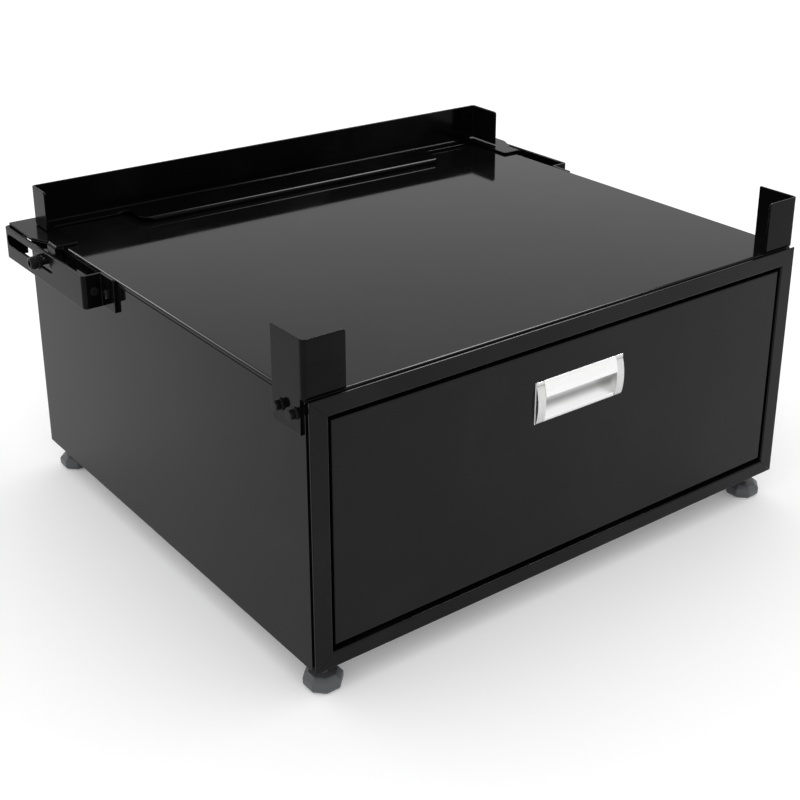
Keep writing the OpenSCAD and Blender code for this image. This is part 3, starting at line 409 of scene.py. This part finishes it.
def skin(grid):
    # A grid of closed loops (rows, cols, 3) with a flat lid on its first and last loop; a negative volume turns the
    # faces over, so that they always look outwards
    rows, cols = grid.shape[:2]
    points = grid.reshape(-1, 3)
    faces = quadGrid(rows, cols)
    lids = np.stack([np.arange(cols)[::-1], np.arange(cols) + (rows - 1) * cols])
    allFaces = faces.tolist() + lids.tolist()
    if fanVolume(points[faces]) + fanVolume(points[lids]) < 0:
        allFaces = [face[::-1] for face in allFaces]
    return points, allFaces


def putPiece(name, skins, finishName, body, replaced, sharp=38):
    points, faces, start = [], [], 0
    for p, f in skins:
        points.append(p)
        faces += [[i + start for i in face] for face in f]
        start += len(p)
    mesh = bpy.data.meshes.new(name)
    mesh.from_pydata(((np.concatenate(points) + toRow) / 1000).tolist(), [], faces)
    mesh.update()
    mesh.shade_smooth()
    mesh.set_sharp_from_angle(angle=np.radians(sharp))
    piece = bpy.data.objects.new(name, mesh)
    bpy.context.scene.collection.objects.link(piece)
    piece.data.materials.append(finishes[finishName])
    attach(piece, body)
    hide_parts(*replaced)


def swapped(grid, order):
    return grid[..., list(order)]


def mirrored(grid):
    return grid * np.array([-1.0, 1, 1])


def bentPath(corners, radii, extra=()):
    # A polyline whose corners are arcs, each point of an arc weighted between its ends by the sine of the angle left:
    # its stations (n, 2) and the length run at each; extra asks for more stations by their length
    decimals = 4
    corners = np.array(corners, float)
    points = [corners[:1]]
    for before, here, after, r in zip(corners[:-2], corners[1:-1], corners[2:], radii):
        a = (before - here) / np.linalg.norm(before - here)
        b = (after - here) / np.linalg.norm(after - here)
        half = np.arccos(np.clip(a @ b, -1, 1)) / 2
        middle = here + (a + b) / np.linalg.norm(a + b) * r / np.sin(half)
        first, last = here + a * r / np.tan(half), here + b * r / np.tan(half)
        u, v = (first - middle) / r, (last - middle) / r
        sweep = np.arccos(np.clip(u @ v, -1, 1))
        t = np.linspace(0, 1, 13)[:, None]
        arc = middle + r * (np.sin((1 - t) * sweep) * u + np.sin(t * sweep) * v) / np.sin(sweep)
        points += [first + a * collar, arc, last + b * collar]
    points = np.vstack(points + [corners[-1:]])
    run = np.concatenate([[0], np.cumsum(np.linalg.norm(np.diff(points, axis=0), axis=1))])
    stops = np.unique(np.round(np.concatenate([run, np.array(list(extra), float)]), decimals))
    stops = stops[(stops >= 0) & (stops <= run[-1] + 10.0 ** -decimals)]
    return np.stack([np.interp(stops, run, points[:, i]) for i in (0, 1)], 1), stops


def stationedPath(corners, radii, stopsFor):
    # A bent path with the stations that its own length asks for
    _, run = bentPath(corners, radii)
    return bentPath(corners, radii, stopsFor(run[-1]))


def endStops(length, *radii):
    # Lengths at which an end rounded by each radius needs stations, at both ends
    turn = 1 - np.cos(np.linspace(0, np.pi / 2, 7))
    near = np.concatenate([r * turn for r in radii] + [[r + collar for r in radii]])
    return np.concatenate([near, length - near])


def arcCut(distance, r):
    # How far a corner arc of radius r has cut in, at a distance from the end
    d = np.clip(distance, 0, r)
    return r - np.sqrt(np.maximum(r * r - (r - d) ** 2, 0))


sheetForm = {
    "shoulder": 1.3,      # a flat begins this many edge radii from the rim
    "edgeShare": 0.98,    # most of the half thickness that an edge takes
    "closedHalf": 0.03,   # half thickness left at a closed end
    "closedShoulder": 0.005,
}


def sheetSkin(path, run, low, high, thick, edge=sheetEdge, softStart=True, softEnd=True):
    # A rolled sheet: a rounded rectangle, as wide as the sheet is thick and reaching from low to high, carried along
    # the path; at a soft end its thickness closes along a quarter circle
    s = sheetForm
    step = np.diff(path, axis=0)
    step /= np.linalg.norm(step, axis=1)[:, None]
    along = np.vstack([step[:1], step[:-1] + step[1:], step[-1:]])
    along /= np.linalg.norm(along, axis=1)[:, None]
    normal = np.stack([along[:, 1], -along[:, 0]], 1)
    half = np.full(len(run), thick / 2)
    if softStart:
        half -= arcCut(run, edge)
    if softEnd:
        half -= arcCut(run[-1] - run, edge)
    half = np.maximum(half, s["closedHalf"])[:, None]
    e = np.minimum(edge, half * s["edgeShare"])
    low, high = (np.broadcast_to(level, run.shape)[:, None] for level in (low, high))
    turn = np.radians([0, 22.5, 45, 67.5, 90])
    inset, rise, flat = 1 - np.cos(turn), 1 - np.sin(turn), s["shoulder"]
    # One side of the loop runs up from the lower rim to the upper one, the other side runs down again
    oneCut = np.concatenate([[flat], inset[::-1], [0, 0], inset, [flat]])
    oneLift = np.concatenate([[0], rise[::-1], [flat, -flat], -rise, [0]])
    side = np.repeat([1.0, -1.0], len(oneCut))
    quarter = len(oneCut) // 2
    atTop = np.repeat([False, True, False], [quarter, 2 * quarter, quarter])
    across = side * np.maximum(half - e * np.tile(oneCut, 2), s["closedShoulder"])
    height = np.where(atTop, high, low) + e * np.concatenate([oneLift, -oneLift])
    plan = path[:, None, :] + normal[:, None, :] * across[..., None]
    return np.concatenate([plan, height[..., None]], 2)


# Handle

handleForm = {
    "bottom": 188.0, "face": 1.5, "halfGrip": 51.75, "halfWidth": 63.75,
    "tip": (-3.9, 30.6),  # the grip's lower edge
    "floor": 6.2, "back": 13.5,
    "tuck": 0.3,          # how far the grip runs under the caps
    "bow": 3.5,           # how far the caps swell
    "capEdge": 0.7, "capDepth": 13.0, "capProud": 1.9, "grooveZ": 43.6,
    "rim": [(0.05, 0.8), (0.6, 0.8), (0.9, 0.6), (1.0, 0.0)],  # distance beyond the cap's body, and how proud
    "rimDepth": 0.05,
    "backSpan": (1.7, 46.8),  # the cap's lower and upper end behind the drawer's face
}


def spline(points, count):
    # Even stations on a smooth curve through the points (Catmull-Rom: each stretch leaves and meets its ends along the
    # line between their neighbours)
    p = np.array(points, float)
    p = np.vstack([2 * p[0] - p[1], p, 2 * p[-1] - p[-2]])
    t = np.linspace(0, len(points) - 1, count)
    i = np.minimum(t.astype(int), len(points) - 2)
    f = (t - i)[:, None]
    a, b, c, d = p[i], p[i + 1], p[i + 2], p[i + 3]
    return 0.5 * (2 * b + (c - a) * f + (2 * a - 5 * b + 4 * c - d) * f ** 2 + (3 * b - a - 3 * c + d) * f ** 3)


def gripLoop(h):
    # Grip plate, ceiling, back and floor of the cup, then the lower rim and the shell's outside, in (y, z)
    f, (tipY, tipZ), floor, back = h["face"], h["tip"], h["floor"], h["back"]
    plate = [(f, 48.5), (f - 0.9, 48.2), (f - 1.7, 46.8), (f - 3.2, 41.5), (f - 4.6, 36.0), (tipY, tipZ + 1.0)]
    lip = [(tipY - 0.1, tipZ + 0.5), (tipY + 0.1, tipZ), (tipY + 0.7, tipZ - 0.1), (tipY + 1.2, tipZ + 0.4)]
    under = [(tipY + 1.9, tipZ + 3.0), (f - 1.0, 41.0), (f + 0.6, 44.6), (f + 3.0, 46.0),
             (back - 4, 46.0), (back - 1, 45.0), (back, 42.0)]
    bowl = [(back, 30.0), (back, 25.0), (back - 0.5, 21.0), (back - 2.5, 17.2), (back - 5.3, 13.6),
            (back - 8.3, 10.4), (back - 10.9, floor + 1.7), (1.3, floor + 0.3), (0.6, floor - 0.3)]
    rim = [(0.0, floor - 0.9), (-0.2, floor - 1.9), (0.1, 2.2), (0.7, 0.6), (f, 0.0)]
    shell = [(f + 0.9, 0.6), (f + 1.6, 4.0), (back + 1.6, 5.0), (back + 1.9, 8.0),
             (back + 1.9, 46.0), (back, 47.2), (f + 1.4, 47.6)]
    curves = zip((plate, lip, under, bowl, rim), (26, 8, 22, 34, 12))
    return np.vstack([spline(points, count) for points, count in curves] + [np.array(shell)])


def gripSkin(h):
    # The loop carried straight along x
    loop = gripLoop(h)
    reach = h["halfGrip"] + h["tuck"]
    x = np.linspace(-reach, reach, 25)
    grid = np.empty((len(x), len(loop), 3))
    grid[..., 0], grid[..., 1], grid[..., 2] = x[:, None], loop[:, 0], loop[:, 1] + h["bottom"]
    return grid


def capSkin(h):
    # Cap front in z: a flat lip, a hairline groove and a swelling half wave. Along x its edges close as quarter
    # circles, then the cap steps back to a thin rim at its outer side
    f, edge, groove = h["face"], h["capEdge"], h["grooveZ"]
    lip = [(48.5, 0.0), (48.3, 0.9), (47.9, 1.5), (47.2, 1.9), (45.2, 2.0),
           (44.7, 1.7), (44.2, 0.7), (43.8, 0.7), (43.4, 1.5), (42.8, 2.2)]
    waveZ = np.linspace(41.5, 2.0, 28)
    wave = h["capProud"] + h["bow"] * np.sin(np.pi * (groove - waveZ) / groove) ** 0.8
    foot = [(1.0, 1.5), (0.4, 0.9), (0.0, 0.0)]
    z, proud = np.vstack([lip, np.stack([waveZ, wave], 1), foot]).T
    turn = np.linspace(0, np.pi / 2, 5)
    closing = edge * (1 - np.sin(turn))
    rimX, rimProud = np.array(h["rim"]).T
    inner, outer = h["halfGrip"], h["halfWidth"] - rimX[-1]
    body = np.concatenate([inner + closing[::-1], [inner + 1.2, inner + 5, outer - 1.2], outer - closing])
    x = np.concatenate([body, [outer], outer + rimX])
    loss = edge * (1 - np.concatenate([np.cos(turn[::-1]), [1, 1, 1], np.cos(turn), [0]]))
    front = np.vstack([np.maximum(proud - loss[:, None], 0), np.minimum(rimProud[:, None], proud)])
    depth = np.where(np.arange(len(x)) < len(body), h["capDepth"], h["rimDepth"])[:, None] * np.ones(len(z))
    grid = np.empty((len(x), 2 * len(z), 3))
    grid[..., 0], grid[..., 1] = x[:, None], np.concatenate([f - front, f + depth], 1)
    grid[..., 2] = np.concatenate([z, np.clip(z[::-1], *h["backSpan"])]) + h["bottom"]
    return grid


capGrid = capSkin(handleForm)
putPiece("handleGrip", [skin(gripSkin(handleForm))], "gripAluminium", "drawer", ["handle_grip"])
putPiece("handleCapRight", [skin(capGrid)], "capAluminiumPaintedShade", "drawer", ["handle_cap_right"])
putPiece("handleCapLeft", [skin(mirrored(capGrid))], "capAluminiumPaintedShade", "drawer", ["handle_cap_left"])
print("handle ready")


# Front brackets

bracketForm = {
    "side": -343.0, "thick": 2.5, "front": 5.5, "sideLeg": 54.0, "frontLeg": 46.5, "bend": 3.9, "edge": 0.7,
    "bottom": 258.5, "legBottom": 297.3, "top": 357.6, "corner": 4.0, "rearCorner": 1.5, "lowCorner": 1.5,
    "tongueGap": 1.0,  # the low part of the side leg ends this far before the bend
}


def bracketSkin(b):
    # Side leg, bend and front leg in one path; the lower edge jumps up where the sheet passes above the top panel
    mid = b["thick"] / 2
    x, y = b["side"] - mid, b["front"] + mid
    corners = [(x, b["front"] + b["sideLeg"]), (x, y), (x + b["frontLeg"], y)]
    jump = b["sideLeg"] - mid - b["bend"] - b["tongueGap"]
    path, run = stationedPath(corners, [b["bend"]], lambda length: np.concatenate(
        [endStops(length, sheetEdge, b["corner"], b["rearCorner"]), [jump, jump + jumpRun]]))
    fromEnd = run[-1] - run
    high = b["top"] - arcCut(run, b["rearCorner"]) - arcCut(fromEnd, b["corner"])
    tongue = b["bottom"] + arcCut(run, b["corner"]) + arcCut(jump - run, b["lowCorner"])
    low = np.where(run < jump + jumpRun / 2, tongue, b["legBottom"] + arcCut(fromEnd, b["lowCorner"]))
    return sheetSkin(path, run, low, high, b["thick"], b["edge"])


bracketGrid = bracketSkin(bracketForm)
putPiece("bracketLeft", [skin(bracketGrid)], "bracketPaint", "cabinet", ["front_bracket_left"])
putPiece("bracketRight", [skin(mirrored(bracketGrid))], "bracketPaint", "cabinet",
         ["front_bracket_right"])


# Bolts and feet: a radius for every angle and height

free = 1000.0  # a radius so large that the row's other one rules alone


def turnedGrid(rows, sides, sharpness=26):
    # rows are (height, round radius) or (height, round radius, radius to the flats); the radius at an angle is nearly
    # the smaller of the circle and the polygon: both to the power of minus sharpness are added and the root is taken
    # back, which leaves the corners slightly soft
    count = 96
    rows = np.array([(*row, free)[:3] for row in rows], float)
    angle = np.linspace(0, 2 * np.pi, count, endpoint=False)
    polygon = 1 / np.cos((angle + np.pi / sides) % (2 * np.pi / sides) - np.pi / sides)
    radius = (rows[:, 1:2] ** -sharpness + (rows[:, 2:3] * polygon) ** -sharpness) ** (-1 / sharpness)
    return np.stack([radius * np.cos(angle), radius * np.sin(angle), np.repeat(rows[:, :1], count, 1)], 2)


def bolted(grid, x, y, z):
    # Turns a grid's height towards -x and sets its foot at a place
    return np.stack([x - grid[..., 2], y + grid[..., 0], z + grid[..., 1]], 2)


bracketBolt = {
    "rows": [(-13.0, 2.6), (-12.6, 3.0), (-0.02, 3.0), (-0.01, 6.1), (0.15, 6.4), (1.1, 6.4), (1.3, 6.2), (1.35, 5.7),
             (1.7, 5.8), (2.3, 5.5), (2.4, 5.3, 4.6), (2.7, 5.5, 4.75), (6.2, 5.5, 4.75), (7.0, 5.1, 4.75),
             (7.4, 4.6, 4.7), (7.5, 4.2, 4.6), (7.5, 3.0, 4.6), (7.45, 1.0, 4.6)],
    "places": [(-345.5, 20.0, 280.0), (-345.5, 44.4, 280.0)],
}
headGrid = turnedGrid(bracketBolt["rows"], 6)
heads = [bolted(headGrid, *place) for place in bracketBolt["places"]]
boltSkins = [skin(grid) for head in heads for grid in (head, mirrored(head))]
putPiece("bracketBolts", boltSkins, "boltBlack", "cabinet", ["bracket_bolts"], 50)

footForm = {
    "x": 320.0, "fronts": {"Front": 23.0, "Rear": 599.0},
    "flats": 19.5, "pad": 17.0,
    # height and inset from the flats; the shoulder's heights count down from the pad's top
    "rim": [(0.0, 4.2), (0.15, 3.4), (0.8, 2.3), (2.0, 1.2), (3.4, 0.45), (5.0, 0.05), (6.0, 0.0)],
    "shoulder": [(6.0, 0.0), (5.3, 0.12), (4.6, 0.6), (0.9, 4.4), (0.35, 5.1), (0.0, 5.8), (-0.01, 6.4)],
    "recess": 7.5, "recessFloor": 7.0, "recessDepth": 0.4, "studGap": 0.4,
    "stud": 5.0, "reach": 51.0, "threadSpan": (1.0, 1.5), "halfPitch": 0.75, "groove": 0.45,
    "tip": [(0.8, 0.3), (0.0, 1.0)],  # distance from the stud's end, and inset
}


def footGrid(f):
    # Eight-sided pad with a rolled lower rim and a bevelled shoulder, its round recess, and a stud whose radius swings
    # between the ridge and the groove of the thread at every half pitch
    a, top, r = f["flats"], f["pad"], f["stud"]
    pad = [(z, free, a - inset) for z, inset in f["rim"]] + [(top - z, free, a - inset) for z, inset in f["shoulder"]]
    floor = top - f["recessDepth"]
    recess = [(top, f["recess"]), (floor, f["recessFloor"]), (floor, r + f["studGap"]), (top, r)]
    turns = np.arange(top + f["threadSpan"][0], f["reach"] - f["threadSpan"][1], f["halfPitch"])
    thread = [(z, r - (f["groove"] if i % 2 else 0.0)) for i, z in enumerate(turns)]
    end = [(f["reach"] - z, r - inset) for z, inset in f["tip"]]
    return turnedGrid(pad + recess + thread + end, 8, 40)


padGrid = footGrid(footForm)
for depth, y in footForm["fronts"].items():
    for side, s in (("Left", -1), ("Right", 1)):
        node = "foot_%s_%s" % (depth.lower(), side.lower())
        placed = padGrid + np.array([s * footForm["x"], y, floorLevel])
        putPiece("foot" + depth + side, [skin(placed)], "footPaint", node, [node], 30)
print("brackets, bolts and feet ready")


# Rear stop

stopForm = {
    "turn": 1.6, "pivot": 520.0,
    "half": 342.0, "rear": 602.0, "thick": 3.0, "bend": 3.0, "leftFlange": 39.0, "rightFlange": 54.0,
    "bottom": 301.5, "top": 349.5, "corner": 4.0, "lowCorner": 1.0,
    "base": 297.3, "baseHalf": 334.0, "baseFront": 579.0, "baseBend": 3.2,
    "baseRise": 2.0,   # how far the base's foot reaches up into the wall
    "baseThin": 0.02,  # keeps its faces off the wall's
    "shelfFront": 531.0, "shelfTop": 304.0, "shelfHalf": 230.0, "shelfCurve": 13.0, "shelfBends": [1.6, 1.6, 2.0],
    "shelfLap": 3.0, "riserRun": 3.2, "lipGap": 0.2, "shelfStations": 60,
    "plateFront": 508.0, "plateRear": 625.0, "plateInner": 326.0, "plateCorner": 3.0, "plateStations": 12,
    "plateFlare": 11.5, "plateSlant": 0.45,  # behind the ear the plates slant out to the arm's outer face
    "ear": 355.5, "earRear": 532.0, "earBottom": 262.0, "earBend": 2.4, "earLap": 4.0, "earTuck": 3.0,
}


def askew(grid, s):
    # The stop stands turned about the middle between its clamp bolts
    a = np.radians(-s["turn"])
    x, y = grid[..., 0], grid[..., 1] - s["pivot"]
    return np.stack([x * np.cos(a) - y * np.sin(a), x * np.sin(a) + y * np.cos(a) + s["pivot"], grid[..., 2]], -1)


def wallSkin(s):
    # Left end flange, wall and right end flange in one path seen from above
    m = s["thick"] / 2
    x, y = s["half"] - m, s["rear"] - m
    corners = [(-x, s["rear"] - s["leftFlange"]), (-x, y), (x, y), (x, s["rear"] - s["rightFlange"])]
    path, run = stationedPath(corners, [s["bend"]] * 2, lambda length: endStops(length, sheetEdge, s["corner"]))
    ends = np.minimum(run, run[-1] - run)
    low, high = s["bottom"] + arcCut(ends, s["lowCorner"]), s["top"] - arcCut(ends, s["corner"])
    return sheetSkin(path, run, low, high, s["thick"])


def baseSkin(s):
    # Wall foot, bend and base flange as a profile in (y, z), as wide as the wall between its reliefs
    m = s["thick"] / 2
    y, z = s["rear"] - m, s["base"] + m
    corners = [(y, s["bottom"] + s["baseRise"]), (y, z), (s["baseFront"], z)]
    path, run = stationedPath(corners, [s["baseBend"]], lambda length: endStops(length, sheetEdge))
    grid = sheetSkin(path, run, -s["baseHalf"], s["baseHalf"], s["thick"] - s["baseThin"], softStart=False)
    return swapped(grid, (2, 0, 1))


def shelfSkin(s):
    # Riser, raised shelf and down-turned lip in (y, z); the half width flares at the riser and rounds off at the front
    m, r = s["thick"] / 2, s["shelfCurve"]
    front, rear, top, z = s["shelfFront"] + m, s["baseFront"] + m, s["shelfTop"] - m, s["base"] + m
    corners = [(rear + s["shelfLap"], z), (rear, z), (rear - s["riserRun"], top), (front, top),
               (front, s["base"] + s["lipGap"])]
    path, run = stationedPath(corners, s["shelfBends"], lambda length: np.concatenate(
        [endStops(length, sheetEdge), np.linspace(0, length, s["shelfStations"])]))
    y = path[:, 0]
    half = s["shelfHalf"] - arcCut(y - front, r) + arcCut(s["baseFront"] - y, r)
    return swapped(sheetSkin(path, run, -half, half, s["thick"], softStart=False), (2, 0, 1))


def plateSkins(s):
    # Left side: the ear with its bend as a profile in (x, z), and the foot plate as a sheet along y
    m, r = s["thick"] / 2, s["plateCorner"]
    x, z = s["ear"] - m, s["base"] + m
    corners = [(-x, s["earBottom"]), (-x, z), (-x + s["earLap"], z)]
    path, run = stationedPath(corners, [s["earBend"]], lambda length: endStops(length, sheetEdge, r))
    cut = arcCut(run, r)
    ear = sheetSkin(path, run, s["plateFront"] + cut, s["earRear"] - cut, s["thick"], softEnd=False)
    length = s["plateRear"] - s["plateFront"]
    turns = s["earRear"] - s["plateFront"] + np.array([0, jumpRun, s["plateFlare"] / s["plateSlant"]])
    even = np.linspace(0, length, s["plateStations"])
    stops = np.unique(np.concatenate([endStops(length, sheetEdge, r), turns, even]))
    y = s["plateFront"] + stops
    flare = np.clip(s["plateSlant"] * (y - s["earRear"]), 0, s["plateFlare"])
    outer = np.where(y <= s["earRear"], -x + s["earTuck"], -s["ear"] - flare) + arcCut(length - stops, r)
    inner = -s["plateInner"] - arcCut(stops, r) - arcCut(length - stops, r)
    plate = sheetSkin(np.stack([y, np.full(len(y), z)], 1), stops, outer, inner, s["thick"])
    return [swapped(ear, (0, 2, 1)), swapped(plate, (2, 0, 1))]


stopGrids = [wallSkin(stopForm), baseSkin(stopForm), shelfSkin(stopForm)]
for grid in plateSkins(stopForm):
    stopGrids += [grid, mirrored(grid)]
stopSkins = [skin(askew(grid, stopForm)) for grid in stopGrids]
putPiece("rearStop", stopSkins, "steelPaint", "rear_stop", ["rear_stop"])

clampForm = {
    "y": 520.0, "z": 282.0, "boltSeat": -375.3, "spacerSeat": -370.3,
    "bolt": [(-25.0, 4.6), (-24.5, 5.0), (-0.02, 5.0), (-0.01, 7.2), (0.3, 7.8), (5.9, 7.8), (7.2, 7.5), (8.2, 6.9),
             (8.5, 6.2), (8.5, 5.2, 4.1), (8.3, 4.7, 4.0), (4.0, 4.6, 4.0), (4.0, 1.0, 4.0)],
    "spacer": [(0.0, 8.6), (0.0, 9.3, 8.3), (0.4, 9.7, 8.45), (2.0, 9.7, 8.45), (2.4, 9.3, 8.3), (2.45, 8.4),
               (2.6, 8.0), (2.8, 8.0), (2.9, 8.9), (3.2, 9.2), (4.6, 9.2), (4.95, 8.8), (4.95, 5.15)],
}


def clampSkins(c, kind):
    # One turned grid seated on the left arm, its mirror image on the right one, both turned with the stop
    one = bolted(turnedGrid(c[kind], 6), c[kind + "Seat"], c["y"], c["z"])
    return [skin(askew(grid, stopForm)) for grid in (one, mirrored(one))]


putPiece("clampBolts", clampSkins(clampForm, "bolt"), "boltBlack", "rear_stop", ["clamp_bolts"], 50)
putPiece("clampSpacers", clampSkins(clampForm, "spacer"), "boltBlack", "rear_stop",
         ["clamp_spacers"], 50)


# Rear arms

armForm = {
    "wall": 345.0, "flangeFront": 385.0, "front": 418.0, "outer": 367.5, "rear": 634.0, "returnEnd": 343.1,
    "thick": 4.0, "bend": 3.2, "corner": 3.0, "bottom": 257.0, "top": 297.0,
    "slotFront": 497.0, "slotRear": 629.0, "slotZ": 282.0, "slotRise": 7.0,
}


def armSkins(a):
    # One bent bar; between the ends of its slot it is two strips, whose inner edges follow the slot's half circles
    wall, outer = -a["wall"], -a["outer"]
    near = 1e-3  # more than the rounding of the stations
    corners = [(wall, a["flangeFront"]), (wall, a["front"]), (outer, a["front"]), (outer, a["rear"]),
               (-a["returnEnd"], a["rear"])]
    bends = [a["bend"]] * 3
    path, run = bentPath(corners, bends)
    leg = path[:, 0] < outer + near
    first, last = np.interp([a["slotFront"], a["slotRear"]], path[leg, 1], run[leg])
    r = a["slotRise"]
    path, run = bentPath(corners, bends, np.concatenate(
        [endStops(run[-1], sheetEdge, a["corner"]), endStops(last - first, r) + first, [first, last]]))
    cut = arcCut(run, a["corner"])
    low, high = a["bottom"] + cut, a["top"] - cut
    half = r - arcCut(np.minimum(run - first, last - run), r)
    before, after = run <= first + near, run >= last - near
    inSlot = (run >= first - near) & (run <= last + near)
    grids = []
    for keep, lowEdge, highEdge, softA, softB in (
        (before, low, high, True, False), (after, low, high, False, True),
        (inSlot, a["slotZ"] + half, high, False, False), (inSlot, low, a["slotZ"] - half, False, False),
    ):
        fromStart = run[keep] - run[keep][0]
        grids.append(sheetSkin(path[keep], fromStart, lowEdge[keep], highEdge[keep], a["thick"],
                               softStart=softA, softEnd=softB))
    return grids


armGrids = armSkins(armForm)
putPiece("armLeft", [skin(grid) for grid in armGrids], "steelPaint", "cabinet", ["rear_arm_left"])
putPiece("armRight", [skin(mirrored(grid)) for grid in armGrids], "steelPaint", "cabinet",
         ["rear_arm_right"])
print("rear stop and arms ready")
